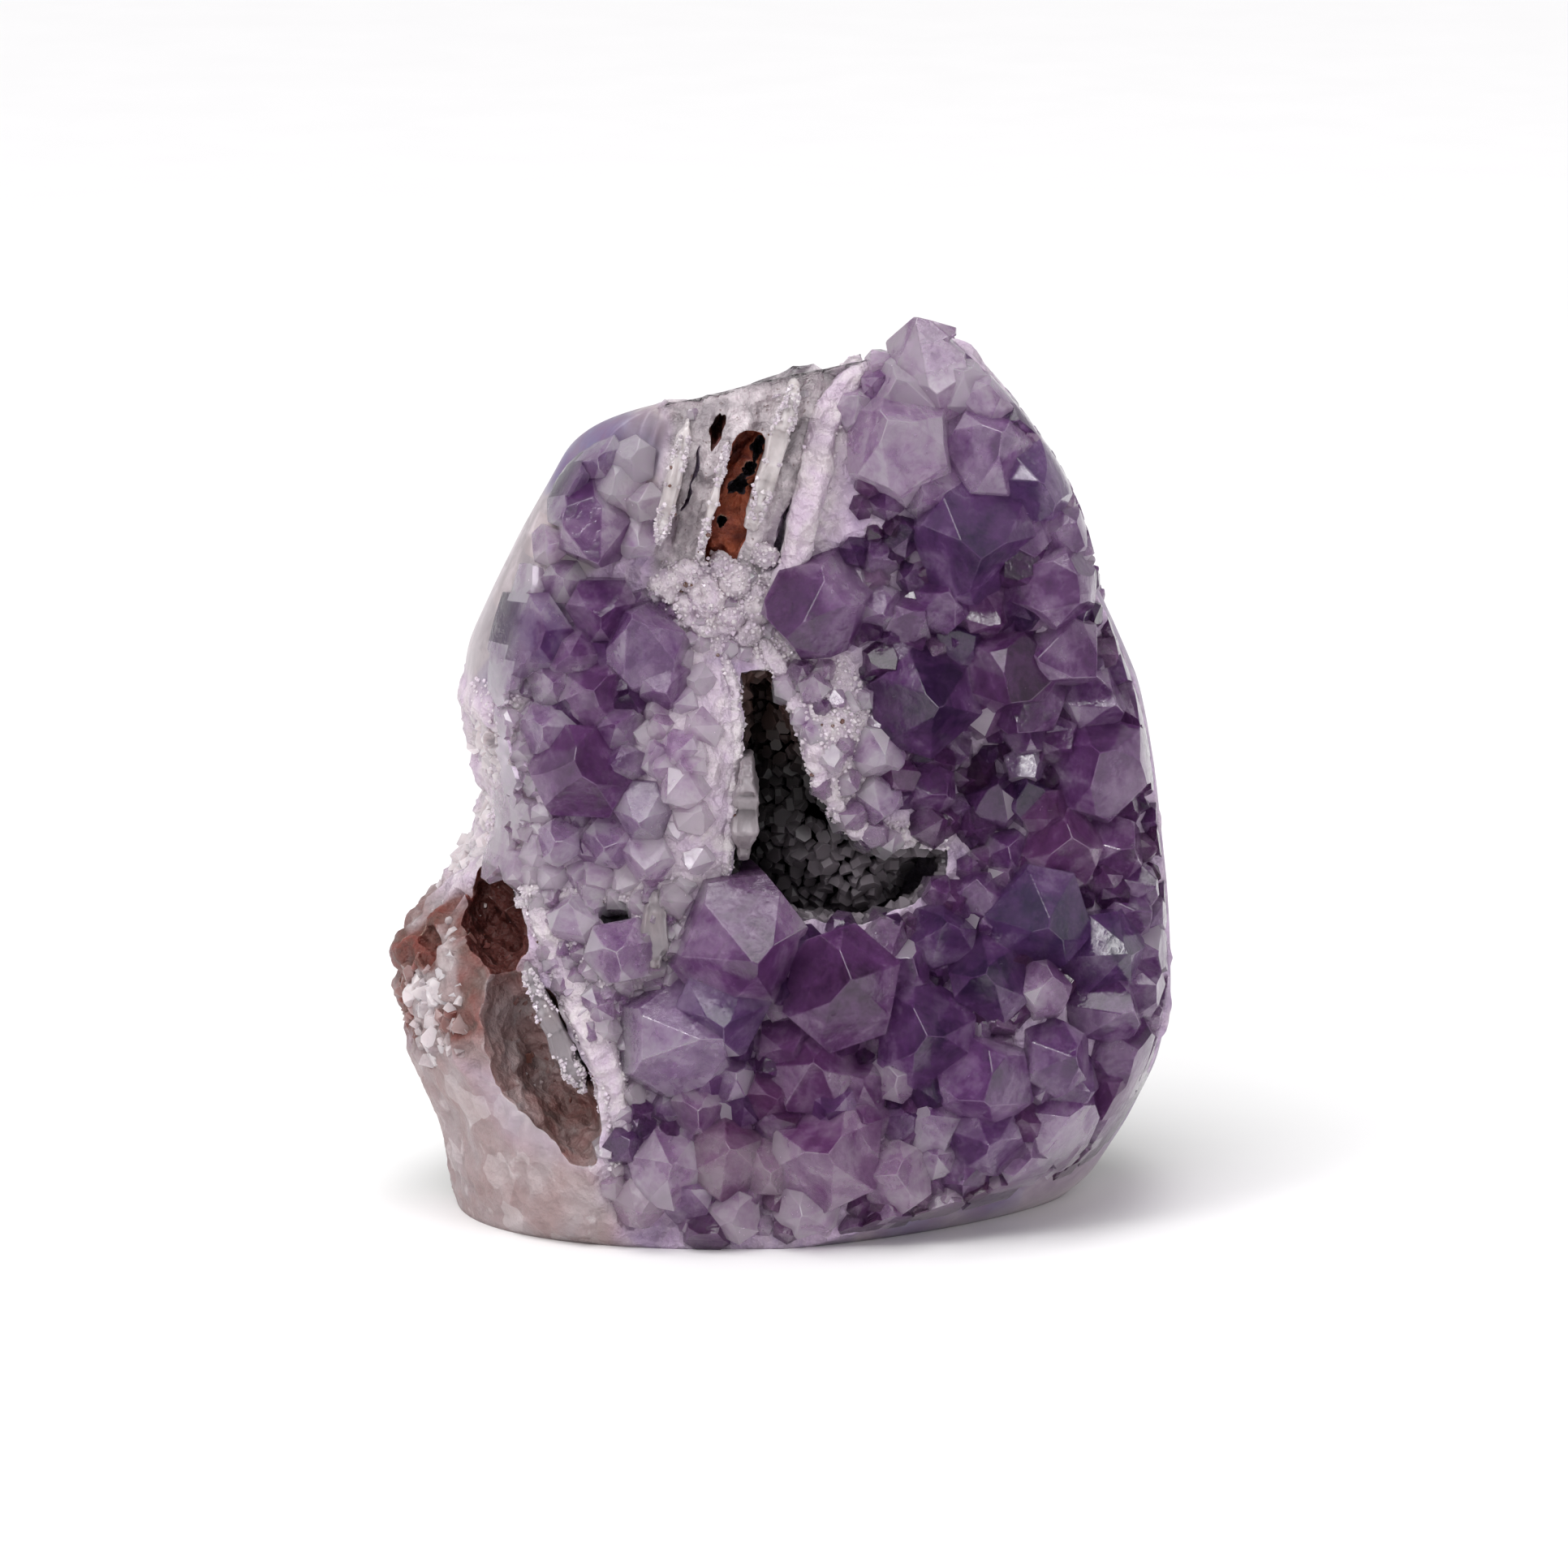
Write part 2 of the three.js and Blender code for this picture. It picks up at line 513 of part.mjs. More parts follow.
// Rings of the cave's wall from its front pole to its back pole, drawn in by inset(row, column).
function caveRings(firstRow, inset) {
  const { rows, columns } = CAVE_NET;
  return Array.from({ length: rows - firstRow }, (_, number) => {
    const row = firstRow + number;
    const tilt = Math.PI * (row / rows - 0.5);
    return Array.from({ length: columns }, (_unused, column) => {
      const around = (-(column + (row % 2) / 2) * 2 * Math.PI) / columns;
      const x = Math.cos(tilt) * Math.cos(around);
      const z = Math.cos(tilt) * Math.sin(around);
      return wallPoint(CAVE_ROOM, Math.asin(z), Math.atan2(Math.sin(tilt), x), inset(row, column));
    });
  });
}

// The crust of the cave: a thick skin inside its wall, open to the front, whose inner side rises to a
// crystal point at every third place of a triangular net.
function cavityCrust() {
  const { openRows, thick, height, gap } = CRUST;
  const outer = caveRings(openRows, () => gap);
  const inner = caveRings(openRows, (row, column) => {
    const isThird = (column - Math.floor(row / 2) - row) % 3 === 0;
    const isPoint = isThird && row > openRows && row < CAVE_NET.rows - 2;
    return gap + thick + (isPoint ? height * (0.6 + 0.8 * random()) : 0);
  });
  return loft([...inner.reverse(), ...outer]);
}

// The largest body of a solid, without the crumbs that a cut leaves.
function largestBody(solid) {
  return solid.decompose().sort((one, other) => other.volume() - one.volume())[0];
}

// A solid as a named mesh with its own material.
function meshOf(name, solid, finish) {
  const { numProp, vertProperties, triVerts } = solid.getMesh();
  const geometry = new THREE.BufferGeometry();
  const points = new Float32Array((vertProperties.length / numProp) * 3);
  for (let point = 0; point * numProp < vertProperties.length; point += 1) {
    points.set(vertProperties.subarray(point * numProp, point * numProp + 3), point * 3);
  }
  geometry.setAttribute("position", new THREE.BufferAttribute(points, 3));
  geometry.setIndex(new THREE.BufferAttribute(triVerts, 1));
  geometry.computeVertexNormals();
  const mesh = new THREE.Mesh(geometry, new THREE.MeshStandardMaterial(finish));
  mesh.name = name;
  return mesh;
}

const AMETHYST = { color: 0x85648f, roughness: 0.15, metalness: 0, flatShading: true };
const CALCITE = { color: 0xd6cdcb, roughness: 0.55, metalness: 0, flatShading: true };
const DARK_QUARTZ = { color: 0x3b373b, roughness: 0.3, metalness: 0, flatShading: true };

const listed = Object.values(CRYSTALS).flat();
const points = [...listed, ...fillPlaces(listed)].map(placedPoint);
const allPoints = points.reduce((joined, point) => joined.add(point));

const caveRoom = loft(caveRings(1, () => 0));
let quartz = quartzBody().subtract(mouthSolid(CAVE_MOUTH, -60, -10));
for (const { across, up, deep, half, turn } of POCKETS) {
  const centre = fromView(across, up, deep).toArray();
  quartz = quartz.subtract(roomSolid({ centre, half, turn, lump: 0.08 }, 8, 14));
}
for (const slot of SLOTS) quartz = quartz.subtract(slotSolid(slot));
quartz = quartz.add(allPoints.intersect(polishedLimit())).subtract(caveRoom);
let crust = cavityCrust();
for (const blade of Object.values(BLADES)) {
  const socket = solidOf(plateGeometry(blade, FIT_GAP));
  quartz = quartz.subtract(socket);
  crust = crust.subtract(socket);
}

const druse = new THREE.Group();
druse.name = "amethyst_druse_with_calcite";
druse.add(meshOf("amethyst_druse", largestBody(quartz), AMETHYST));
for (const [name, blade] of Object.entries(BLADES)) {
  druse.add(meshOf(name, solidOf(plateGeometry(blade, 0)), CALCITE));
}
druse.add(meshOf("cavity_crust", largestBody(crust), DARK_QUARTZ));

// The origin goes under the middle of the piece.
const bounds = new THREE.Box3().setFromObject(druse);
druse.position.y = -(bounds.min.y + bounds.max.y) / 2;

export default druse;
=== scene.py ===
"""Amethyst druse with calcite: the finished looks of the specimen, built round its packed frame.

Lengths in this file are millimetres until place() turns them to metres in the frame of the solids.
"""

from itertools import combinations

import bmesh
import bpy
import numpy as np
from mathutils import Euler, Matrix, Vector


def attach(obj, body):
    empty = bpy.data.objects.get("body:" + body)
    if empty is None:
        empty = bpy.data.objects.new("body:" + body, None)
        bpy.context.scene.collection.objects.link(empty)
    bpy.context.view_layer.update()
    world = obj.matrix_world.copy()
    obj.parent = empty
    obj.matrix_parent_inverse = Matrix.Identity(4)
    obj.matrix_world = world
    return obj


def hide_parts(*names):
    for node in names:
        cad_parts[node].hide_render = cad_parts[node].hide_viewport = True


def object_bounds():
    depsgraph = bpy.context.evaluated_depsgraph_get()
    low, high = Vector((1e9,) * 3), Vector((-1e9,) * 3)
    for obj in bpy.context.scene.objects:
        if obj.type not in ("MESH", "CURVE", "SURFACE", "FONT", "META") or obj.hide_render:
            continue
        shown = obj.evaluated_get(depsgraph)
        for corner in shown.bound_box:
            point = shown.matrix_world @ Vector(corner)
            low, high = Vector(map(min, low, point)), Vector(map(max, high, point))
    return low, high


bl_info = {
    "name": "Amethyst druse with calcite",
    "version": (1, 0, 0),
    "blender": (4, 5, 0),
    "location": "3D View > Sidebar > Druse",
    "description": "Builds a polished amethyst specimen with calcite plates and a dark cave",
    "category": "Add Mesh",
}

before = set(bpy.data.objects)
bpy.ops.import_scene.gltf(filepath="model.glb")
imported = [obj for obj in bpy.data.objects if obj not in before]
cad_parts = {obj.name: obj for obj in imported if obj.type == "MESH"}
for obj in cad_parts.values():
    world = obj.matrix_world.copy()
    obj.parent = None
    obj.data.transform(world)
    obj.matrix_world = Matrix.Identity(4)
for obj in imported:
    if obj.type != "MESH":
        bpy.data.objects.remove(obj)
SOLID_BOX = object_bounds()
ROOT = "root"
MM = 0.001
BACK_Y = 37.0
SHIFT = np.array([0.0, SOLID_BOX[1].y / MM - BACK_Y, 0.0])

# The view of the photograph: straight from the front and a little from above. Places on the front are
# noted as (across, up), up at right angles to the line of sight from the front edge of the base.
SIGHT_TILT = np.radians(12)
BASE_EDGE_Y = -35.0
CAMERA_DISTANCE = 1.4
PICTURE_WIDTH = 0.2125
PICTURE_MIDDLE = (0.0, 63.5)
PICTURE_DEPTH = -10.0
SENSOR = 36.0

# Lights: kind, setting for the power, angle or side, and place, in metres. All face the specimen's middle.
LIT_PLACE = (0.0, 0.0, 0.06)
LIGHTS = (
    ("broad_light", "SUN", "broad_light", np.radians(50), (-0.3, -0.5, 1.2)),
    ("key_light", "AREA", "key_power", 0.3, (-0.6, -0.7, 0.75)),
    ("fill_light", "AREA", "fill_power", 0.35, (0.75, -0.8, 0.35)),
    ("top_light", "AREA", "top_power", 0.35, (0.1, 0.1, 0.95)),
)
ROOM_COLOUR = "#f4f4f6"
FLOOR_CORNERS = 64

# Sections of the outside from the base to the top ridge: left x and z, left x at the back, right x and z,
# front y, back y, and the roundness of the front right corner.
LEFT_ROUNDNESS = 2.4
RIGHT_ROUNDNESS = 2.8
SECTIONS = np.array([
    (-45, 0, -43, 38.5, 0, -31.5, 30, 1.4),
    (-45.6, 2.5, -44, 42, 2.5, -34.6, 33.5, 1.45),
    (-46.8, 11, -44.5, 47.2, 11, -36.2, 35.5, 1.7),
    (-50.6, 20, -45.5, 51.2, 20, -37, 36.5, 2.2),
    (-53, 29, -46, 53, 29, -37, 37, RIGHT_ROUNDNESS),
    (-52.5, 37, -45.5, 52.8, 37, -37, 37, RIGHT_ROUNDNESS),
    (-46.5, 43, -43.5, 52.3, 44, -37, 37, RIGHT_ROUNDNESS),
    (-42.2, 51, -41.5, 51.4, 52, -36.6, 36.5, RIGHT_ROUNDNESS),
    (-40.6, 58, -40.6, 50.5, 60, -36, 35.5, RIGHT_ROUNDNESS),
    (-42.2, 64, -42.2, 49.5, 66, -35.6, 34.5, RIGHT_ROUNDNESS),
    (-44, 71, -44, 48.2, 72, -35, 33.5, RIGHT_ROUNDNESS),
    (-42.8, 78, -42.8, 45.3, 79, -34.2, 31.5, RIGHT_ROUNDNESS),
    (-39.2, 86, -39.2, 41.8, 87, -33, 29, RIGHT_ROUNDNESS),
    (-35.5, 93.5, -35.5, 40.2, 95, -31.2, 25, RIGHT_ROUNDNESS),
    (-31.8, 100, -31.8, 37.4, 101.5, -29, 21, RIGHT_ROUNDNESS),
    (-29, 105.3, -29, 33.5, 107.5, -27, 17, RIGHT_ROUNDNESS),
    (-25, 108.4, -25, 30, 112.2, -25, 13, RIGHT_ROUNDNESS),
    (-17.5, 110.4, -17.5, 27.6, 115.8, -22.8, 9, RIGHT_ROUNDNESS),
    (-5.5, 112.1, -5.5, 24.6, 119.2, -20.5, 3.5, RIGHT_ROUNDNESS),
    (6.5, 114.2, 6.5, 21.5, 121, -17.5, -3, RIGHT_ROUNDNESS),
])
NOD_FROM, NOD_FULL, NOD_RATE = 62.0, 108.0, 0.3

# The bed that the crystals grow on: a leaning plane, a slope at its right edge, and hollows (deep above 0)
# and swellings (deep below 0): centre x and z, spread in x and z, deep.
BED_FOOT_Y, BED_LEAN = -31.0, 0.105
RIGHT_SLOPE_FROM, RIGHT_SLOPE_RATE = 35.0, 1.05
BED_FORMS = (
    (30, 62, 13, 20, 9), (14, 103, 9, 9, -2), (-17, 66, 10, 15, -4.5), (5, 72, 5, 13, -4),
    (-2, 37, 13, 7, -3.5), (-25, 30, 4, 12, -3), (-52, 38, 10, 11, 12), (-6, 100, 10, 7, 2.5),
    (-40, 56, 4, 5, 5), (44, 4, 18, 15, 8), (-37, 14, 13, 17, -5),
    # Quartz between the calcite plates, up to their edges.
    (-5, 103, 12, 11, -8),
    # The right half of the left panel, round the bridging plate and the lower plates.
    (-11, 61, 6, 14, -4), (-18, 44, 6, 6, -3),
)

# Mouth of the cave, the room behind it, the pockets and the slots, as in the solids.
CAVE_MOUTH = (
    (-6, 78.5), (-1.5, 79), (1.5, 72), (4, 64), (7, 59), (11, 55.5), (22, 54.5),
    (21.5, 51), (17.5, 47.5), (10.5, 44.5), (1.5, 45.5), (-7, 49), (-6.6, 60), (-5.6, 71),
)
CAVE_ROOM = {"centre": (6.5, -5, 60.5), "half": (17, 15.5, 21), "turn": 0.2, "lump": 0.1}
LONG_POCKET = {"place": (-32.8, 25.8, -31), "half": (6.2, 12, 14.8), "turn": -0.48, "lump": 0.08}
LEFT_HOLE = {"place": (-39.6, 45.4, -24), "half": (5.2, 13, 8), "turn": -0.3, "lump": 0.08}
SIDE_HOLLOW = {"place": (-49, 42.5, -16), "half": (2.6, 5, 3.6), "turn": -0.2, "lump": 0.12}
LEDGE_HOLE = {"place": (-22.8, 45.6, -30), "half": (2.5, 6, 2), "turn": 0.0, "lump": 0.08}
MOULD_OPENING = ((-5.5, 112), (-0.6, 111.5), (-2.5, 104), (-5, 93), (-9.5, 92.5), (-8, 101))
RED_HOLE = {"place": (-8.9, 110.6, -23.5), "half": (0.8, 6, 2.4), "turn": 0.3, "lump": 0.2}
SLOT_FRONT = -38.0
PLATE_LEAN = np.radians(15)
MOULD_FLOOR = {"centre": (-6, -18.3, 100.2), "half": (4, 4.6, 11.5), "turn": 0.26, "lump": 0.1}
MOULD_HOLES = (
    {"centre": (-5.9, -23, 103), "half": (1.9, 5, 1.3), "turn": -0.6, "lump": 0.25},
    {"centre": (-3.4, -22.5, 108), "half": (0.9, 5, 1.8), "turn": 0.3, "lump": 0.2},
    {"centre": (-4.6, -22.5, 105.2), "half": (0.8, 5, 1.2), "turn": 0.2, "lump": 0.2},
    {"centre": (-8.4, -22.5, 98), "half": (0.5, 5, 0.8), "turn": 0.2, "lump": 0.2},
)
MOULD_SLOT = {"place": (-6.5, 101.4), "lean": 15, "long": 22, "wide": 6.2, "back": -17.5}
RIGHT_GAP = {"place": (-0.2, 97), "lean": 16, "long": 11.5, "wide": 1.8, "back": -20}
LEFT_GAP = {"place": (-12.4, 104), "lean": 14.5, "long": 11, "wide": 0.7, "back": -21}

# Calcite plates seen on edge: middle of the visible edge (across, up, y), lean to the right in degrees,
# length, thickness, reach into the quartz, and how far their free edge is broken back.
BLADES = {
    "top_left": ((-14.8, 103, -27.5), 14, 17, 1.9, 13, 1.2),
    "top_middle": ((-9.4, 101, -27.5), 14, 17, 1.2, 14, 1.2),
    "top_right": ((-1.5, 106.5, -27.5), 17, 21, 3.3, 13, 1.4),
    "pocket": ((-30.7, 30, -31.8), -24, 19.5, 3.0, 12, 1.4),
    "bridge": ((-17.4, 43.4, -32), 3, 11.5, 3.8, 8, 0.8),
    "cavity": ((-5.2, 59.5, -30.5), 2, 14, 3.8, 11, 2.2),
}

# Amethyst crystals: across, up, width, lean right, lean up, darkness from 0 to 1, and warmth from blue (-1)
# to red (1).
PEAK = (
    (19.2, 119.6, 10, -0.3, 1.3, 0.3, 0.3), (16.5, 115.5, 8.5, -0.3, 0.2, 0.0, 0.2),
    (23, 116.5, 7, 0.2, 0.4, 0.2, 0.1), (15.5, 108.5, 13, -0.3, 0.2, 0.3, 0.2),
    (9.5, 113.5, 5, 0, 0.4, 0.25, 0), (27.5, 114.5, 7.5, 0.4, 0.4, 0.4, 0.1),
    (30.5, 112.5, 6, 0.7, 0, 0.75, 0), (27, 108, 11, 0.2, 0.4, 0.5, 0),
    (33.5, 104, 9.5, 0.4, -0.2, 0.65, -0.5), (24.5, 97, 14, 0.1, -0.2, 0.7, -0.3),
    (32.5, 97, 6, -0.3, -0.3, 0.6, 0), (37.5, 97.5, 6, 0.6, 0.1, 0.55, 0),
)
RIGHT_EDGE = (
    (36, 90, 10, 0.3, 0, 0.6, 0.1), (37, 81.5, 9, 0.4, -0.5, 0.5, 0.1), (41, 75, 8, 0.3, 0, 0.55, 0),
    (42, 66, 12.5, -0.2, 0.2, 0.65, 0.1), (44, 55, 8, 0.2, 0, 0.55, 0.2), (47, 49.5, 6.5, 0.3, 0, 0.5, 0),
    (46, 46, 7, 0.2, 0, 0.5, 0), (42, 41, 11, 0, 0, 0.75, -0.4), (42.5, 33.5, 9.5, 0.1, -0.1, 0.55, 0),
    (47.5, 36, 7, 0.3, 0, 0.5, 0), (45, 27, 9, 0.3, 0, 0.55, 0.1), (44, 18, 7.5, 0.3, 0.2, 0.5, 0.1),
)
BOWL = (
    (4.5, 87.5, 12, -0.4, -0.5, 0.6, 0.1), (12.5, 87.5, 6, 0.1, -0.2, 0.4, 0),
    (21, 88, 7.5, 0.1, 0.3, 0.6, 0), (18.5, 75, 13, 0, 0, 0.9, -0.1),
    (29.5, 79.5, 11.5, 0, -0.3, 0.7, 0.2), (32.5, 75, 9, -0.1, -0.4, 0.7, 0.1),
    (33, 70.5, 5.5, 0.1, 0.5, 0.5, 0), (12.5, 68, 6.5, -0.1, -0.3, 0.1, 0),
    (12.5, 61.5, 5.5, 0, -0.6, 0.3, 0), (19.5, 63, 6.5, 0.1, -0.2, 0.6, 0.1),
    (28.5, 61, 7, 0, 0.5, 0.7, 0), (33, 61.5, 6, 0.1, 0.5, 0.8, -0.2),
    (37, 55, 9, -0.1, 0.1, 0.6, 0.4), (30, 54, 5.5, 0, 0, 0.5, 0),
    (26, 48, 6.5, -0.2, 0.5, 0.6, 0), (34, 45.5, 11.5, 0.1, -0.2, 0.85, -0.5),
)
MIDDLE = (
    (21, 43, 7.5, 0, 0.2, 0.7, -0.3), (16, 39, 6.5, 0.1, 0.3, 0.6, 0), (27.5, 37, 9.5, -0.1, 0, 0.8, -0.2),
    (34.5, 36, 6.5, 0.1, 0.3, 0.3, 0.2), (8, 37, 14, -0.1, 0.15, 0.7, 0.2),
    (-6.5, 42, 15, 0.2, -0.35, 0.55, 0.2), (-8.5, 34, 11.5, 0.2, 0, 0.6, -0.5),
    (-14.5, 30, 13.5, 0.6, 0.1, 0.35, -0.1), (19, 30, 11.5, 0, 0.1, 0.75, -0.1),
    (15.5, 24.5, 6.5, 0, 0, 0.2, 0.3), (-7, 23.5, 6, 0.1, 0.4, 0.4, 0), (4, 25, 10.5, 0, 0.3, 0.6, 0.4),
    (-2, 22, 6.5, 0.2, 0, 0.6, 0.6), (26.5, 24, 11.5, 0, -0.2, 0.6, 0), (36, 27, 8.5, 0, 0.1, 0.55, -0.1),
)
FOOT = (
    (37, 17.5, 10.5, 0, 0.2, 0.6, 0), (20, 18, 7, -0.1, 0.3, 0.4, 0), (27, 16.5, 9, 0, 0, 0.65, -0.2),
    (6.5, 13.5, 13, 0, 0.1, 0.55, 0.4), (20.5, 13, 5, 0, 0.3, 0.5, 0), (15, 11, 8.5, 0, 0, 0.5, 0.3),
    (-8, 13.5, 9, 0.1, 0.2, 0.55, 0.8), (-16, 12, 9.5, 0, 0.1, 0.4, 0.2), (-21.5, 15, 5, 0, 0.3, 0.8, -0.2),
    (-2, 12, 7, 0.1, 0, 0.5, 0.7), (3, 6.5, 7.5, 0, -0.1, 0.3, 0.2), (-6.5, 5.5, 6.5, 0, -0.1, 0.2, 0.3),
    (-11.5, 20.5, 7, 0, 0, 0.35, 0.4), (10.5, 19, 6.5, 0, 0, 0.5, 0.4), (32.5, 12.5, 6.5, 0, 0, 0.5, 0),
)
LEFT_PANEL = (
    (-25.5, 98, 9.5, 0.1, -0.7, 0.55, 0), (-29.2, 105, 6.5, -0.2, 0, 0.5, -0.2),
    (-24.5, 107.5, 6, 0, 0, 0.3, -0.1),
    (-20, 107, 5.5, 0.1, 0, 0.08, 0), (-22, 103.2, 6, 0, -0.2, 0.1, 0), (-29, 100.6, 5, 0, 0, 0.25, 0),
    (-18.6, 101, 5, 0, 0, 0.0, 0), (-19.5, 96.5, 5, 0.1, -0.2, 0.0, 0), (-31.5, 95.5, 4.5, 0, 0, 0.1, 0),
    (-34, 84, 10.5, 0, 0, 0.42, 0), (-38.5, 79, 6, -0.3, 0.1, 0.2, 0), (-29.5, 90.5, 5, 0, 0.2, 0.2, 0),
    (-34.5, 90.5, 4.5, 0, 0.1, 0.05, 0), (-30.5, 77, 6, 0, 0, 0.35, 0.1), (-22, 71, 6, 0.1, 0, 0.45, 0.1),
    (-31, 71, 7, -0.1, 0, 0.25, 0),
    (-24.5, 87, 8, 0, -0.2, 0.5, 0.1), (-18.5, 81.5, 10, -0.3, 0.4, 0.45, -0.1),
    (-28, 81, 7, 0, 0, 0.45, 0.1), (-25.5, 75.5, 8, 0.2, 0.1, 0.5, 0.2),
    (-16, 77, 6, 0.2, -0.4, 0.4, 0), (-26.5, 65, 12, 0, 0, 0.7, 0.2), (-18.5, 60, 7, 0.1, -0.2, 0.32, -0.3),
    (-23, 56, 6, 0, 0, 0.25, 0), (-18, 54, 6, 0, -0.3, 0.12, 0), (-30, 56, 5.5, 0, 0, 0.2, 0),
    (-28, 45.5, 6, 0, 0.5, 0.12, 0), (-21.5, 41, 8, 0, 0.2, 0.2, 0),
)

# Outlines on the front, (across, up): where smaller crystals fill in, and where the surface is white with
# fine druse, stained by iron, or massive quartz.
VIOLET_BED = (
    (-2, 2.5), (20, 3.5), (43, 9), (51.5, 26), (53, 50), (49.5, 72), (40.5, 95), (32, 114), (22, 123),
    (12, 120), (11.5, 112), (10, 100), (6, 93), (4, 84), (11, 78), (14, 66), (14, 58), (24, 56), (22, 51),
    (11, 45), (2, 46), (-7, 50), (-12, 44), (-17, 30), (-20, 20), (-22, 9), (-14, 1.5),
)
VIOLET_PANEL = (
    (-28, 90), (-22, 91), (-14.7, 87), (-14, 79), (-19.3, 73), (-20.4, 64), (-19, 55), (-29, 54),
    (-33, 70), (-36, 75), (-30, 80),
)
WHITE_PANEL = (
    (-18, 82), (-10.5, 81), (-6.6, 74), (-5.8, 70), (-6.6, 60), (-7.9, 48.5), (-18, 47), (-35.8, 45.5),
    (-40.5, 49), (-40.4, 60), (-34, 60), (-31, 53), (-20.4, 52), (-21.6, 64), (-20, 73),
)
WHITE_LEFT = ((-44, 78), (-37, 78), (-32, 68), (-31, 56), (-41, 56), (-42, 65))
WHITE_BRIDGE = ((-17, 93), (-10, 94), (-1.7, 93), (4, 99), (1, 90), (2, 84), (-1, 80), (-12.7, 81),
                (-18.5, 86))
WHITE_TOP = ((8.6, 121), (13, 120), (9.4, 111), (8, 99), (4, 92), (-0.6, 83), (-4, 90), (0, 94), (2, 104),
             (4, 115))
WHITE_WALL = ((-4.4, 83), (4, 82), (10.5, 78.5), (13, 71), (13, 64), (13, 59.5), (22, 57.5), (22, 54),
              (9.4, 55), (4, 62), (-0.6, 75))
WHITE_RIDGE = ((-36, 48.5), (-15, 49.5), (-12.5, 44), (-16.5, 33), (-19, 20), (-21, 9), (-23.5, 9),
               (-24, 15), (-27, 28), (-33, 41))
PLATE_ZONE = ((-20, 114), (-2.2, 119), (8.8, 121), (2.7, 99), (-2, 91), (-10, 93), (-17.5, 92))
CUT_SHOULDER = ((-47, 75), (-44, 88), (-30, 112), (-17, 116), (-15.2, 111), (-17, 101), (-18.5, 97),
                (-22, 94), (-28.5, 90), (-30, 80), (-36, 75))
RIGHT_STRIP = ((34, 5), (43, 9), (51.5, 26), (53, 40), (48, 40), (46, 28), (38, 14))
PANEL_STRIP = ((-12.5, 82), (-10.5, 81), (-6.6, 74), (-5.8, 70), (-6.6, 60), (-7.9, 48.5), (-12, 48),
               (-10.8, 60), (-10.8, 72))
WHITES = (WHITE_PANEL, WHITE_LEFT, WHITE_BRIDGE, WHITE_TOP, WHITE_WALL, WHITE_RIDGE)
RUSTY_LOBE = ((-54, 46), (-44.6, 51), (-39, 52), (-35, 47.6), (-34.7, 38), (-39, 30), (-46, 27), (-54, 25))
MASSIVE_FOOT = ((-54, 28), (-45, 30), (-36, 16), (-25, 12.5), (-22, 6), (-22, -1), (-60, -1), (-60, 15))

# Free edges of quartz plates: path (across, up), width, reach back, and the side that they lie on (1 is the
# right of the path, -1 the left), roughness, and how far it stands out.
RIMS = {
    "cave_right": (((-4.4, 83), (-1.1, 77.5), (1.1, 73), (2.8, 67.4), (4.1, 62.5), (6.6, 58.6), (9.9, 56),
                    (15, 55.2), (22, 54.8)), 3.0, 8, 1, 0.8, 0.5),
    "cave_left": (((-7.2, 81.5), (-6, 76), (-5.5, 70), (-6.3, 62), (-6.8, 55), (-7.3, 47.5)),
                  1.8, 9, -1, 0.45, 0.5),
    "panel_foot": (((-7.9, 48.5), (-14, 49.5), (-21, 48), (-29, 47.2), (-36, 46.5)), 1.8, 6, -1, 0.7, 0.5),
    "pocket_ridge": (((-35.8, 48), (-33, 42), (-30.3, 35.5), (-27, 27.8), (-25, 22.3), (-23.9, 14)),
                     4.6, 9, 1, 0.5, 1.0),
    "top_plate": (((8.6, 120.5), (5.2, 115.5), (3, 111.4), (2.3, 105.6), (0.4, 97.8), (-0.4, 93.7),
                   (-3.7, 89.5)), 4.4, 9, 1, 0.3, 2.0),
}
# White patches on the rusty lobe: across, up, and spread across and up.
WHITE_PATCHES = ((-48.5, 36.5, 3.4, 2), (-45.8, 38.8, 1.6, 3), (-46.5, 50.5, 4, 3), (-44.5, 34.5, 2.4, 1.4))
# Round lumps of milky quartz: across, up and radius.
NODULES = (
    (-15.4, 90, 2.6), (-12.4, 91.5, 2.2), (-10, 88.5, 3.2), (-13.6, 86.6, 2.4), (-6.6, 90.6, 2.8),
    (-3.4, 87.6, 3), (-7.2, 86, 2.6), (-10.6, 84.6, 2.2), (-4.6, 83.8, 2.2), (-1, 91, 2.2), (0.4, 86, 2.2),
    (-16.5, 86, 1.8), (-8.4, 92.6, 1.8), (-2.4, 94, 1.6), (-6.4, 47.6, 1.5), (-33.6, 48.6, 1.8),
)

# Crystals cut through by the polish: across, up, radius and darkness.
CUT_CRYSTALS = (
    (-25, 109.5, 6.5, 0.7), (-30.5, 106.3, 4.5, 0.9), (-19.3, 108.6, 5, 0.45), (-27.5, 102.5, 4.5, 0.6),
    (-33.5, 84, 6, 0.9), (-38.5, 77, 3.5, 0.5), (-5, 4.5, 4.5, 0.9), (6, 4, 4, 0.5), (17, 4, 5, 0.5),
    (28, 8, 5, 0.6), (-15, 6, 3.5, 0.4),
)

# Facets that get a painted highlight, as where they mirror a light: across, up.
PAINTED_GLINT_FACETS = (
    (29, 60.8), (32.5, 63), (27.8, 75.4), (27.5, 50.4), (25.3, 45.4), (16.5, 38.8), (34.9, 35.5), (49, 42.7),
    (19.8, 17.9), (-6.6, 24), (-7.7, 18.5), (12.1, 68), (13.8, 109.8),
    (-16.2, 34.6), (-8, 31.4), (-15.4, 29.2), (21, 30.2), (2, 40), (40, 20),
)
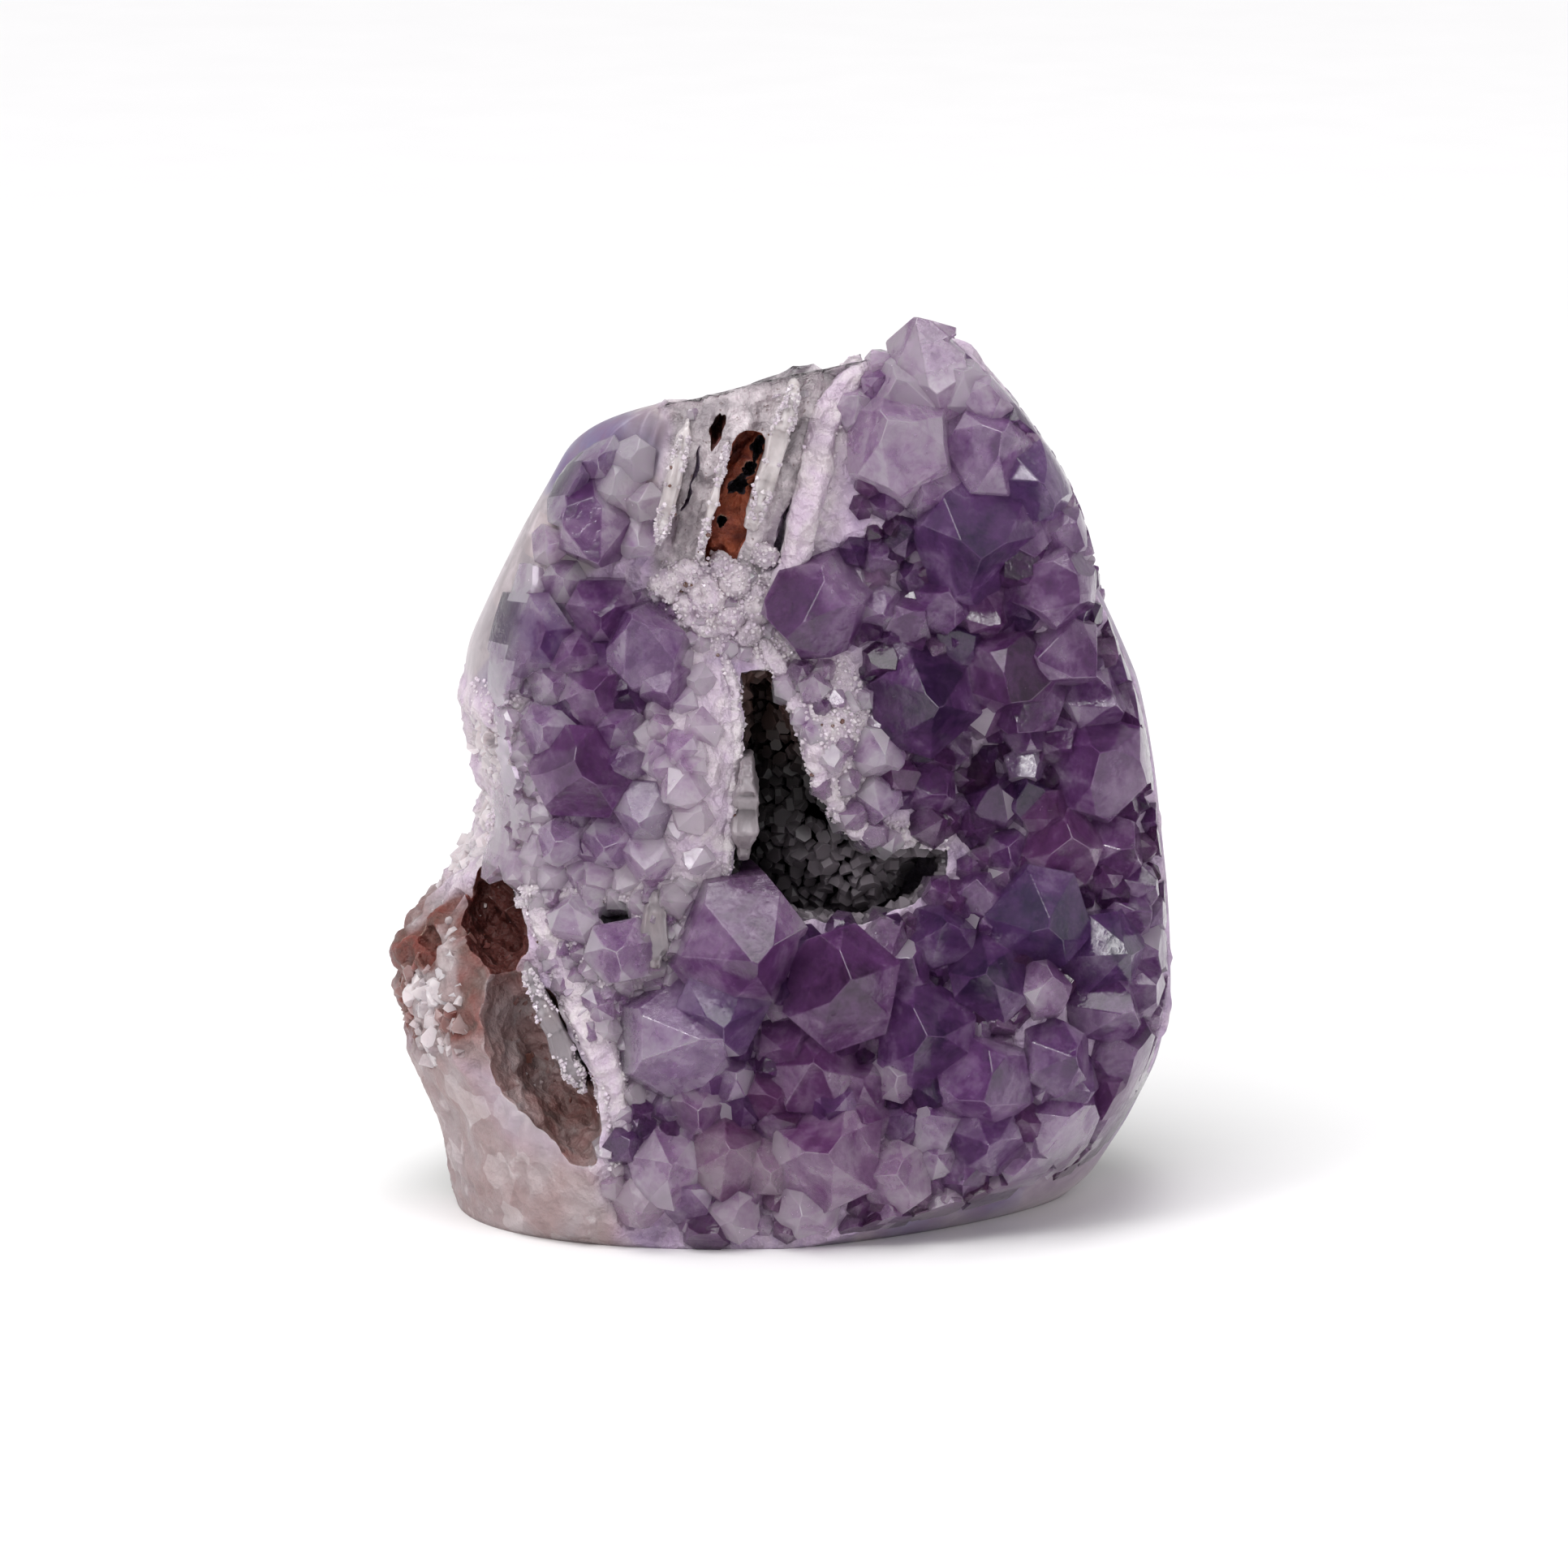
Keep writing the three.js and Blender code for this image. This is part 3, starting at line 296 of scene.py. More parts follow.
# How far the listed crystals stand out as a share of their width. Then the smaller crystals: outline,
# spacing, smallest and largest width, darkness from and to, warmth from and to, and that same share.
LISTED_RISE = 0.14
FILLS = (
    (VIOLET_BED, 6.6, 5.2, 8.6, 0.35, 0.9, -0.3, 0.4, 0.06),
    (VIOLET_BED, 3.6, 2.6, 4.6, 0.3, 0.9, -0.2, 0.5, 0.12),
    (VIOLET_PANEL, 4.6, 3.6, 6.2, 0.35, 0.8, -0.2, 0.3, 0.08),
    (VIOLET_PANEL, 2.8, 2.2, 3.6, 0.2, 0.6, -0.2, 0.3, 0.12),
    (WHITE_PANEL, 3.3, 3.4, 6.4, -0.1, 0.15, 0.0, 0.3, -0.16),
    (WHITE_LEFT, 2.4, 1.8, 3.8, 0.0, 0.1, 0.0, 0.2, -0.05),
    (WHITE_BRIDGE, 3.4, 2.0, 3.4, 0.0, 0.12, 0.0, 0.2, -0.15),
    (RIGHT_STRIP, 2.8, 2.4, 4.2, 0.1, 0.5, -0.2, 0.3, 0.3),
    (WHITE_WALL, 3.6, 2.4, 4.8, 0.05, 0.35, 0.0, 0.2, -0.1),
    (WHITE_RIDGE, 2.5, 2.0, 4.2, 0.0, 0.3, 0.0, 0.3, -0.02),
)

# Numbers that the faces of the body keep, to tell where its surfaces came from.
(FROM_OUTSIDE, FROM_MOUTH, FROM_ROOM, FROM_POCKET, FROM_LEFT_HOLE, FROM_LEDGE, FROM_RED_HOLE, FROM_MOULD,
 FROM_GAP, FROM_SIDE_HOLLOW) = range(10)

# What the corners of the body and of the plate edges tell their material.
BODY_LOOKS = ("skin", "coat", "grey", "rust", "massive", "rind", "dark", "behind", "violet", "cut", "clay")
# Rise of a quartz point's tip planes over their run, the power that squares the corners of calcite plates,
# the rise of rows in a hexagonal grid over their spacing, any turn, and a distance beyond every other.
POINT_SLOPE = 1.27
PLATE_CORNER = 0.35
HEXAGONAL_RISE = 0.866
ANY_TURN = (0, 6.3)
FAR = 1e9
# Quartz plates and lumps are seeded from these, so that the druse on them finds the same surfaces.
LUMP_SEED, PLATE_SEED, PLATE_SEED_STEP = 120, 200, 10

# Quartz bends light by 1.544, calcite by 1.49 to 1.66. Clear amethyst takes up green most.
QUARTZ_IOR, CALCITE_IOR = 1.544, 1.6
ABSORPTION_TINT, ABSORPTION_PER_METRE = "#c3a6cc", 48.0
# Patterns of the materials, as cells of the noise in each metre, from the size of a cell in mm: clouds of
# colour inside a crystal, veils and growth hills on its faces, layers of the massive quartz, patches and
# grains on it, milky clouds at the foot, crystals cut by the polish, shards of the bed, flakes, steps of the
# calcite's cleavage, drawn as coarse as they need to show, and the unevenness of the floor.
SCALE = {label: 1 / (size * MM) for label, size in {
    "colour_cloud": 5.882, "veil": 1.25, "growth_hill": 1.6667, "layer": 11.111, "patch": 3.125,
    "grain": 0.66667, "milky_cloud": 7.1429, "cut_crystal": 6.6667, "shard": 2.381, "flake": 3.3333,
    "cleavage_step": 1.1111, "board_mottle": 25.0}.items()}
# Turn of the bands in radians for each mm of depth: a band about every 2.9 mm.
BAND_TURN = 2.2


def linear(code):
    """An sRGB hex colour as linear red, green and blue with full alpha."""
    value = np.array([int(code[start:start + 2], 16) for start in (1, 3, 5)]) / 255
    value = np.where(value <= 0.04045, value / 12.92, ((value + 0.055) / 1.055) ** 2.4)
    return (*value.tolist(), 1.0)


def smoothstep(value, low, high):
    """0 below low, 1 above high, and 3s^2 - 2s^3 of the share s between them."""
    share = np.clip((value - low) / (high - low), 0, 1)
    return share * share * (3 - 2 * share)


def value_noise(points, size, seed):
    """Noise from -1 to 1: hashed values on a lattice with cells of that size, blended between corners."""
    cell = points / size
    low = np.floor(cell).astype(np.int64)
    share = cell - low
    share = share * share * (3 - 2 * share)
    total = np.zeros(points.shape[:-1])
    for corner in np.ndindex(2, 2, 2):
        at = low + corner
        mixed = (at[..., 0] * 73856093) ^ (at[..., 1] * 19349663) ^ (at[..., 2] * 83492791) ^ (seed * 7919)
        mixed = ((mixed ^ (mixed >> 13)) * 1274126177) & 0xFFFFFFFF
        mixed = mixed ^ (mixed >> 15)
        weight = np.prod(np.where(corner, share, 1 - share), axis=-1)
        total += weight * ((mixed & 0xFFFF) / 32767.5 - 1)
    return total


def fractal(points, size, octaves, seed):
    """Sum of noises, each with half the cell size and half the height of the one before."""
    return sum(0.5 ** n * value_noise(points, size / 2 ** n, seed + n) for n in range(octaves))


def from_view(across, up, y):
    """The points that are seen at places on the front and lie at depth y."""
    across, up, y = np.broadcast_arrays(across, up, y)
    z = (up - (y - BASE_EDGE_Y) * np.sin(SIGHT_TILT)) / np.cos(SIGHT_TILT)
    return np.stack([across, y, z], -1).astype(float)


def to_view(points):
    """The places on the front at which points are seen."""
    up = points[..., 2] * np.cos(SIGHT_TILT) + (points[..., 1] - BASE_EDGE_Y) * np.sin(SIGHT_TILT)
    return points[..., 0], up


def bed_depth(x, z):
    """Depth of the bed: the leaning plane, the right slope and a bell-shaped term for each form."""
    y = BED_FOOT_Y + BED_LEAN * z + RIGHT_SLOPE_RATE * np.maximum(0, x - RIGHT_SLOPE_FROM)
    for centre_x, centre_z, spread_x, spread_z, deep in BED_FORMS:
        y = y + deep * np.exp(-(((x - centre_x) / spread_x) ** 2) - ((z - centre_z) / spread_z) ** 2)
    return y


def skin_depth(x, z):
    """Depth of the polished skin at the front, from the section at that height: the middle less the half
    depth times (1 - c^n)^(1/n), where c is the share of the half width. Also gives c."""
    level = z
    for _ in range(4):
        rows = [np.interp(level, SECTIONS[:, 1] / 2 + SECTIONS[:, 4] / 2, SECTIONS[:, column])
                for column in (0, 3, 5, 6)]
        left, right, front, back = rows
        middle = (left + right) / 2
        share = np.clip(np.abs(x - middle) / ((right - left) / 2), 0, 1.2)
        roundness = np.where(x < middle, LEFT_ROUNDNESS, RIGHT_ROUNDNESS)
        swing = (back - front) / 2 * np.clip(1 - share ** roundness, 0, 1) ** (1 / roundness)
        level = z - NOD_RATE * smoothstep(level, NOD_FROM, NOD_FULL) * swing
    return (front + back) / 2 - swing, share


def on_bed(across, up):
    """The points on the bed that are seen at places on the front, found in four steps."""
    across = np.asarray(across, float)
    point = from_view(across, up, BASE_EDGE_Y)
    for _ in range(4):
        point = from_view(across, up, bed_depth(across, point[..., 2]))
    return point


def on_front(across, up):
    """The points of the bed or the skin, whichever lies further back, that are seen at places on the front,
    and whether they lie inside the outline."""
    across = np.asarray(across, float)
    point = from_view(across, up, BASE_EDGE_Y)
    for _ in range(6):
        skin, share = skin_depth(across, point[..., 2])
        point = from_view(across, up, np.maximum(bed_depth(across, point[..., 2]), skin))
    return point, (share < 0.97) & (point[..., 2] < SECTIONS[-1, 1] - 1)


def spread_out(points, spacing, rng):
    """Numbers of points picked by chance so that none is nearer to another than the spacing."""
    picked = []
    for number in rng.permutation(len(points)):
        if not picked or np.min(np.sum((points[picked] - points[number]) ** 2, -1)) > spacing * spacing:
            picked.append(number)
    return np.array(picked)


def bed_normal(point):
    """Outward directions of the bed, from its slope over 3 mm."""
    step = 1.5
    x, z = point[..., 0], point[..., 2]
    slope_x = (bed_depth(x + step, z) - bed_depth(x - step, z)) / (2 * step)
    slope_z = (bed_depth(x, z + step) - bed_depth(x, z - step)) / (2 * step)
    normal = np.stack([slope_x, np.full_like(slope_x, -1), slope_z], -1)
    return normal / np.linalg.norm(normal, axis=-1, keepdims=True)


def inside_share(across, up, outline, soft):
    """0 outside an outline to 1 inside it over a soft edge: the side by the crossing rule, and the distance
    to the nearest edge."""
    inside = np.zeros(np.shape(across), bool)
    nearest = np.full(np.shape(across), FAR)
    for (x1, z1), (x2, z2) in zip(outline, (*outline[1:], outline[0])):
        run, rise = x2 - x1, z2 - z1
        if rise:
            inside ^= ((z1 > up) != (z2 > up)) & (across < x1 + (up - z1) * run / rise)
        share = np.clip(((across - x1) * run + (up - z1) * rise) / (run * run + rise * rise), 0, 1)
        nearest = np.minimum(nearest, np.hypot(across - x1 - share * run, up - z1 - share * rise))
    return smoothstep(np.where(inside, nearest, -nearest), -soft, soft)


def any_zone(across, up, outlines, soft):
    """The largest of the shares inside several outlines."""
    return np.max([inside_share(across, up, outline, soft) for outline in outlines], axis=0)


def unit(vectors):
    """Vectors of length 1."""
    return vectors / np.linalg.norm(vectors, axis=-1, keepdims=True)


def place(points):
    """Millimetres in the maker's frame as metres in the frame of the solids."""
    return (np.asarray(points, float) + SHIFT) * MM


def new_object(name, points, faces, **face_numbers):
    """A mesh object from points in millimetres and faces, with whole numbers stored on its faces."""
    mesh = bpy.data.meshes.new(name)
    mesh.from_pydata(place(points).tolist(), [], [list(map(int, face)) for face in faces])
    for label, value in face_numbers.items():
        layer = mesh.attributes.new(label, "INT", "FACE")
        layer.data.foreach_set("value", np.full(len(mesh.polygons), value, np.int32))
    obj = bpy.data.objects.new(name, mesh)
    bpy.context.scene.collection.objects.link(obj)
    return obj


def grid_faces(rows, columns):
    """Faces of a grid of closed rings, with a fan to a pole at each end, which are its last two points."""
    row, column = np.meshgrid(np.arange(rows - 1), np.arange(columns), indexing="ij")
    after = (column + 1) % columns
    quads = np.stack([row * columns + column, row * columns + after,
                      (row + 1) * columns + after, (row + 1) * columns + column], -1).reshape(-1, 4)
    here = np.arange(columns)
    after = (here + 1) % columns
    last = (rows - 1) * columns
    first_pole, last_pole = rows * columns, rows * columns + 1
    low = np.stack([after, here, np.full(columns, first_pole)], -1)
    high = np.stack([last + here, last + after, np.full(columns, last_pole)], -1)
    return [*quads.tolist(), *low.tolist(), *high.tolist()]


def ring_solid(name, rings, **face_numbers):
    """Rings of equal length as one closed surface, with a pole at the middle of each end."""
    rows, columns = rings.shape[:2]
    points = np.concatenate([rings.reshape(-1, 3), rings[:1].mean(1), rings[-1:].mean(1)])
    return new_object(name, points, grid_faces(rows, columns), **face_numbers)


def grid_normals(rings):
    """Outward directions of a grid of rings: along the ring crossed with up the grid."""
    along = np.roll(rings, -1, 1) - np.roll(rings, 1, 1)
    up = np.gradient(rings, axis=0)
    return unit(np.cross(along, up) + 1e-9)


def combine(base, others, operation):
    """Joins solids to a base or cuts them from it. The others are used up."""
    group = bpy.data.collections.new("operands")
    bpy.context.scene.collection.children.link(group)
    for other in others:
        group.objects.link(other)
    change = base.modifiers.new("combine", "BOOLEAN")
    change.operation = operation
    change.solver = "MANIFOLD"
    change.operand_type = "COLLECTION"
    change.collection = group
    result = bpy.data.meshes.new_from_object(base.evaluated_get(bpy.context.evaluated_depsgraph_get()))
    base.modifiers.clear()
    base.data = result
    for other in others:
        bpy.data.meshes.remove(other.data)
    bpy.data.collections.remove(group)
    if not len(result.polygons):
        raise RuntimeError(f"{base.name} lost its faces in {operation}")
    return base


def read(items, label, width=1, kind=float):
    """A property of all points, corners or faces of a mesh, in rows where it has several values."""
    values = np.empty(len(items) * width, kind)
    items.foreach_get(label, values)
    return values.reshape(-1, width) if width > 1 else values


def corner_data(mesh):
    """Points of the corners in millimetres in the maker's frame, and the face of each corner."""
    corner_point = read(mesh.loops, "vertex_index", kind=np.int32)
    counts = read(mesh.polygons, "loop_total", kind=np.int32)
    at = read(mesh.vertices, "co", 3)[corner_point] / MM - SHIFT
    return at, np.repeat(np.arange(len(counts)), counts)


def scrambled(numbers):
    """A tone from 0 to 1 for each number, with no pattern that shows."""
    return np.modf(np.abs(np.sin(numbers) * 43758.5453))[0]


def take(mesh, label):
    """The whole numbers stored on the faces of a mesh, which are then removed from it."""
    values = read(mesh.attributes[label].data, "value", kind=np.int32)
    mesh.attributes.remove(mesh.attributes[label])
    return values


def store(mesh, domain="CORNER", **layers):
    """Stores numbers on the corners, points or faces of a mesh for its material."""
    for label, values in layers.items():
        layer = mesh.attributes.get(label) or mesh.attributes.new(label, "FLOAT", domain)
        layer.data.foreach_set("value", np.asarray(values, np.float32).ravel())


def finish_piece(obj, name, material, node, smooth):
    """Gives a piece its name, material, slot, body and the solid that it stands for."""
    obj.name = obj.data.name = name
    obj.data.materials.clear()
    obj.data.materials.append(material)
    obj.data.polygons.foreach_set("use_smooth", np.full(len(obj.data.polygons), smooth))
    obj.data.update()
    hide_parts(node)
    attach(obj, ROOT)
    return obj


def section_rows(rows):
    """The values of the sections at evenly spaced heights, with the creases between sections rounded."""
    middles = (SECTIONS[:, 1] + SECTIONS[:, 4]) / 2
    heights = np.linspace(middles[0], middles[-1], rows)
    values = np.stack([np.interp(heights, middles, column) for column in SECTIONS.T], 1)
    for _ in range(10):
        values[1:-1] = values[:-2] / 4 + values[1:-1] / 2 + values[2:] / 4
    return values


def outside_rings(values, front_columns, back_columns, front_depth):
    """Rounded oblongs for each row of section values: x and y follow the powers 2/n of cosine and sine, and
    front_depth(x, z, y) gives the depth of the front half."""
    front_angle = np.pi * (1 + np.arange(front_columns) / front_columns)
    back_angle = np.pi * np.arange(back_columns) / back_columns
    angle = np.concatenate([front_angle, back_angle])[None]
    in_front = (np.arange(front_columns + back_columns) < front_columns)[None]
    left_x, left_z, back_left, right_x, right_z, front, back, corner = (v[:, None] for v in values.T)
    cos, sin = np.cos(angle), np.sin(angle)
    roundness = np.where(cos < 0, LEFT_ROUNDNESS, np.where(in_front, corner, RIGHT_ROUNDNESS))
    power = 2 / roundness
    middle_x, middle_y = (left_x + right_x) / 2, (front + back) / 2
    end_x = np.where((cos < 0) & ~in_front, left_x + (back_left - left_x) * sin, left_x)
    half = np.where(cos < 0, middle_x - end_x, (right_x - left_x) / 2)
    x = middle_x + half * power_wave(cos, power)
    level = left_z + (right_z - left_z) * (x - left_x) / (right_x - left_x)
    nod = NOD_RATE * smoothstep(level, NOD_FROM, NOD_FULL)
    skin = middle_y + (back - front) / 2 * power_wave(sin, power)
    z = level + nod * (middle_y - skin)
    y = np.where(in_front & (sin < 0), front_depth(x, z, skin), skin)
    return np.stack([x, y, z], -1)


def leaning(points, lean, stretch):
    """Points in axes that lean to the right, shrunk along the leaning axis, for noise in long streaks."""
    cos, sin = np.cos(lean), np.sin(lean)
    side = points[..., 0] * cos - points[..., 2] * sin
    along = points[..., 0] * sin + points[..., 2] * cos
    return np.stack([side, points[..., 1] * 0.5, along * stretch], -1)


def body_relief(points):
    """Height of the fine relief: rough on the bed, ridged between the plates, streaked on the left panel,
    and smooth where it is polished. Each noise has its height and the size of its cells in mm."""
    x, y, z = np.moveaxis(points, -1, 0)
    across, up = to_view(points)
    bed = 1 - smoothstep(y - bed_depth(x, z), 0.3, 1.2)
    massive, plates, panel, shoulder = (
        inside_share(across, up, outline, soft) * bed
        for outline, soft in ((MASSIVE_FOOT, 2), (PLATE_ZONE, 1.5), (WHITE_PANEL, 1.5), (CUT_SHOULDER, 1.5)))
    plain = np.clip(1 - massive - plates - panel - shoulder, 0, 1)
    rough = 0.55 * fractal(points, 3.2, 3, 3) + 0.5 * fractal(points, 8, 2, 31)
    calm = 0.7 * fractal(points, 10, 3, 11) - 1.1 * np.abs(fractal(points, 5, 3, 13)) + 0.4
    ridged = 1.4 * fractal(leaning(points, PLATE_LEAN, 0.16), 2.4, 3, 15)
    streaked = 0.3 * fractal(leaning(points, 0, 0.14), 1.7, 2, 17) + 0.35 * fractal(points, 7, 2, 19)
    height = 0.12 * fractal(points, 16, 1, 41)
    height = height + bed * (rough * plain + calm * massive + ridged * plates + streaked * panel)
    # Off the bed: the natural back, the broken left edge, the broken crown with its dip, the lobe's side.
    off = 1 - bed
    back = smoothstep(y, 14, 26)
    natural = 1.2 * fractal(points, 12, 4, 21) - 0.3
    craggy = 1.3 * fractal(points, 6, 3, 23) - 1.5 * np.abs(fractal(points, 3.2, 2, 25)) + 0.4
    left = smoothstep(-x, 34, 38) * smoothstep(z, 18, 26) * (1 - smoothstep(z, 70, 76)) * off
    crown = natural_top(points) * off
    dip = 0.3 + 1.0 * smoothstep(x, -5, 0) * (1 - smoothstep(x, 8, 12))
    stony = smoothstep(-x, 20, 26) * (1 - smoothstep(z, 26, 32)) * off * (1 - back) * 0.9
    height = height + back * natural + stony * calm
    height = height + (left * craggy + crown * (0.6 * craggy - dip)) * (1 - back)
    return height * smoothstep(z, 0.2, 2.5)


def natural_top(points):
    """1 on the ridge right of the polished shoulder, where the specimen was left rough, and 0 elsewhere."""
    x, z = points[..., 0], points[..., 2]
    ragged = 5 * fractal(points, 12, 3, 161)
    right = smoothstep(x + ragged, 20, 26) * smoothstep(z + ragged, 82, 88)
    ridge = smoothstep(x, -17, -12) * smoothstep(z, 104, 108)
    return np.maximum(right, ridge)


def lumpiness(direction, lump):
    """Distance to the wall of a lumpy ball, as a share of the plain one."""
    x, y, z = direction[..., 0], direction[..., 1], direction[..., 2]
    return 1 + lump * (np.sin(5 * x + 2 * z) * np.cos(4 * z - 3 * y) + 0.5 * np.sin(9 * z + 4 * x))


def ball_directions(rows, columns):
    """Directions from the middle of a ball, ring by ring from its front pole to its back pole."""
    tilt = np.pi * (np.arange(1, rows) / rows - 0.5)[:, None]
    around = ring_angles(columns)
    return np.stack(np.broadcast_arrays(
        np.cos(tilt) * np.cos(around), np.sin(tilt), np.cos(tilt) * np.sin(around)), -1)


def ring_angles(columns):
    """Evenly spaced angles round a ring, clockwise."""
    return -2 * np.pi * np.arange(columns)[None] / columns


def power_wave(wave, power):
    """A sine or cosine raised to a power with its sign kept, which squares the corners of a section."""
    return np.sign(wave) * np.abs(wave) ** power


def room_rings(room, rows, columns, inset=0.0, grain=0.4):
    """Wall of a lumpy room, ring by ring from its front pole to its back pole: the unit sphere stretched by
    the room's halves, drawn in by the inset and roughened by the grain."""
    direction = ball_directions(rows, columns)
    centre = room["centre"] if "centre" in room else from_view(*room["place"])
    point = direction * (np.array(room["half"]) - inset) * lumpiness(direction, room["lump"])[..., None]
    cos, sin = np.cos(room["turn"]), np.sin(room["turn"])
    x, z = point[..., 0] * cos + point[..., 2] * sin, point[..., 2] * cos - point[..., 0] * sin
    point = np.stack([x, point[..., 1], z], -1) + np.asarray(centre)
    return point + direction * (grain * fractal(point, 2.4, 3, 5))[..., None]


def dense_outline(outline, step):
    """A closed outline with a point about every step along its sides."""
    corners = np.array([*outline, outline[0]], float)
    far = np.concatenate([[0], np.cumsum(np.hypot(*np.diff(corners, axis=0).T))])
    at = np.linspace(0, far[-1], int(far[-1] / step) + 1)[:-1]
    return np.stack([np.interp(at, far, corners[:, 0]), np.interp(at, far, corners[:, 1])], -1)


def mouth_rings(outline, front_y, back_y, rows):
    """An outline on the front carried back along the line of sight, with a ragged edge."""
    edge = dense_outline(outline, 0.5)
    depths = np.linspace(front_y, back_y, rows)[:, None]
    ring = from_view(edge[None, :, 0], edge[None, :, 1], depths)
    aside, upward = (0.45 * fractal(ring, 1.8, 2, seed) for seed in (51, 61))
    return ring + np.stack([aside, 0 * aside, upward], -1)


def slot_rings(slot, rows, columns):
    """A leaning slot: a rounded oblong, wide by long, carried from the front to its back, with rough
    walls."""
    angle = ring_angles(columns)
    lean = np.radians(slot["lean"])
    depth = np.linspace(SLOT_FRONT, slot["back"], rows)[:, None]
    narrow = 0.75 + 0.25 * np.linspace(1, 0, rows)[:, None] ** 0.5
    side = slot["wide"] / 2 * power_wave(np.cos(angle), 0.5) * narrow
    along = slot["long"] / 2 * power_wave(np.sin(angle), 0.7) * narrow
    middle = from_view(*slot["place"], (SLOT_FRONT + slot["back"]) / 2 + 5)
    x = middle[0] + side * np.cos(lean) + along * np.sin(lean)
    z = middle[2] - side * np.sin(lean) + along * np.cos(lean)
    ring = np.stack(np.broadcast_arrays(x, depth, z), -1)
    aside, upward = 0.5 * fractal(ring, 2.2, 3, 71), 0.25 * fractal(ring, 2.2, 3, 81)
    return ring + np.stack([aside, 0 * aside, upward], -1)


def smooth_path(path, count):
    """A path through chosen places with its corners rounded, at even steps."""
    places = np.array(path, float)
    far = np.concatenate([[0], np.cumsum(np.hypot(*np.diff(places, axis=0).T))])
    at = np.linspace(0, far[-1], count)
    line = np.stack([np.interp(at, far, places[:, 0]), np.interp(at, far, places[:, 1])], -1)
    for _ in range(count // 8):
        line[1:-1] = line[:-2] / 4 + line[1:-1] / 2 + line[2:] / 4
    return line


def rim_rings(path, width, reach, side, roughness, proud, rows=150, columns=30):
    """The free edge of a plate: a rounded oblong, width by reach, carried along a path on the front, shifted
    to one side of it, tapered at its ends and made knobbly."""
    line = smooth_path(path, rows)
    tangent = unit(np.gradient(line, axis=0))
    sideways = np.stack([-tangent[:, 1], tangent[:, 0]], -1) * side
    share = np.linspace(-1, 1, rows)
    taper = np.sqrt(np.clip(1 - np.abs(share) ** 6, 0.02, 1))[:, None]
    middle = line + sideways * width * 0.45
    front = on_bed(middle[:, 0], middle[:, 1])
    angle = ring_angles(columns)
    if side > 0:
        angle = -angle
    out = width / 2 * taper * power_wave(np.cos(angle), 0.55)
    deep = reach / 2 * (1 + power_wave(np.sin(angle), 0.5)) - proud * taper
    x = front[:, :1] + out * sideways[:, :1]
    y = front[:, 1:2] + deep
    z = front[:, 2:] + out * sideways[:, 1:] / np.cos(SIGHT_TILT)
    ring = np.stack([x, y, z], -1)
    lumps = 0.6 * fractal(ring, 1.5, 3, 91) + 0.5 * fractal(ring, 5, 2, 95)
    return ring + grid_normals(ring) * lumps[..., None] * roughness


def closed(faces):
    """Whether each edge of the faces runs once each way."""
    runs = [(int(a), int(b)) for face in faces for a, b in zip(face, np.roll(face, -1))]
    return len(runs) == len(set(runs)) and {(b, a) for a, b in runs} == set(runs)


def faceted(normals, distances):
    """Corners and faces of a convex solid. Each corner is where three planes meet inside all the others, and
    each face is the corners on one plane in turn round their middle."""
    triples = np.array(list(combinations(range(len(normals)), 3)))
    planes, far = normals[triples], distances[triples]
    meet = np.abs(np.linalg.det(planes)) > 1e-5
    corners = np.linalg.solve(planes[meet], far[meet][..., None])[..., 0]
    corners = corners[(corners @ normals.T <= distances + 1e-6).all(1)]
    corners = np.unique(np.round(corners, 5), axis=0)
    faces = []
    for normal, distance in zip(normals, distances):
        on = np.flatnonzero(np.abs(corners @ normal - distance) < 1e-4)
        if len(on) < 3:
            continue
        spokes = corners[on] - corners[on].mean(0)
        turn = np.arctan2(spokes @ np.cross(normal, spokes[0]), spokes @ spokes[0])
        faces.append(on[np.argsort(turn)])
    return corners, faces


def quartz_point(width, sunk, rng):
    """A quartz point with its tip on +Z: six prism planes, and three large and three small tip planes at the
    slope of quartz rhombohedra, each moved in or out a little by chance, and a base plane."""
    around = np.arange(6) * np.pi / 3
    apothem = width / 2
    flat = np.stack([np.cos(around), np.sin(around), np.zeros(6)], -1)
    steep = np.hypot(1, POINT_SLOPE)
    tips = np.stack([np.cos(around) * POINT_SLOPE / steep, np.sin(around) * POINT_SLOPE / steep,
                     np.full(6, 1 / steep)], -1)
    small = np.arange(6) % 2 == 1
    normals = np.concatenate([flat, tips, [[0, 0, -1]]])
    faces = []
    while not faces or not closed(faces):
        prism_far = apothem * rng.uniform(0.86, 1.12, 6)
        grown = np.where(small, rng.uniform(1.0, 1.3, 6), rng.uniform(0.93, 1.04, 6))
        tip_far = apothem * POINT_SLOPE / steep * grown
        corners, faces = faceted(normals, np.concatenate([prism_far, tip_far, [sunk]]))
    return corners, faces


def turned_frames(axes, turns):
    """Right-handed frames with the given third axes, turned round them."""
    helper = np.where(np.abs(axes[:, 2:]) < 0.9, [[0.0, 0.0, 1.0]], [[1.0, 0.0, 0.0]])
    first = unit(np.cross(helper, axes))
    second = np.cross(axes, first)
    cos, sin = np.cos(turns)[:, None], np.sin(turns)[:, None]
    return np.stack([first * cos + second * sin, second * cos - first * sin, axes], -1)


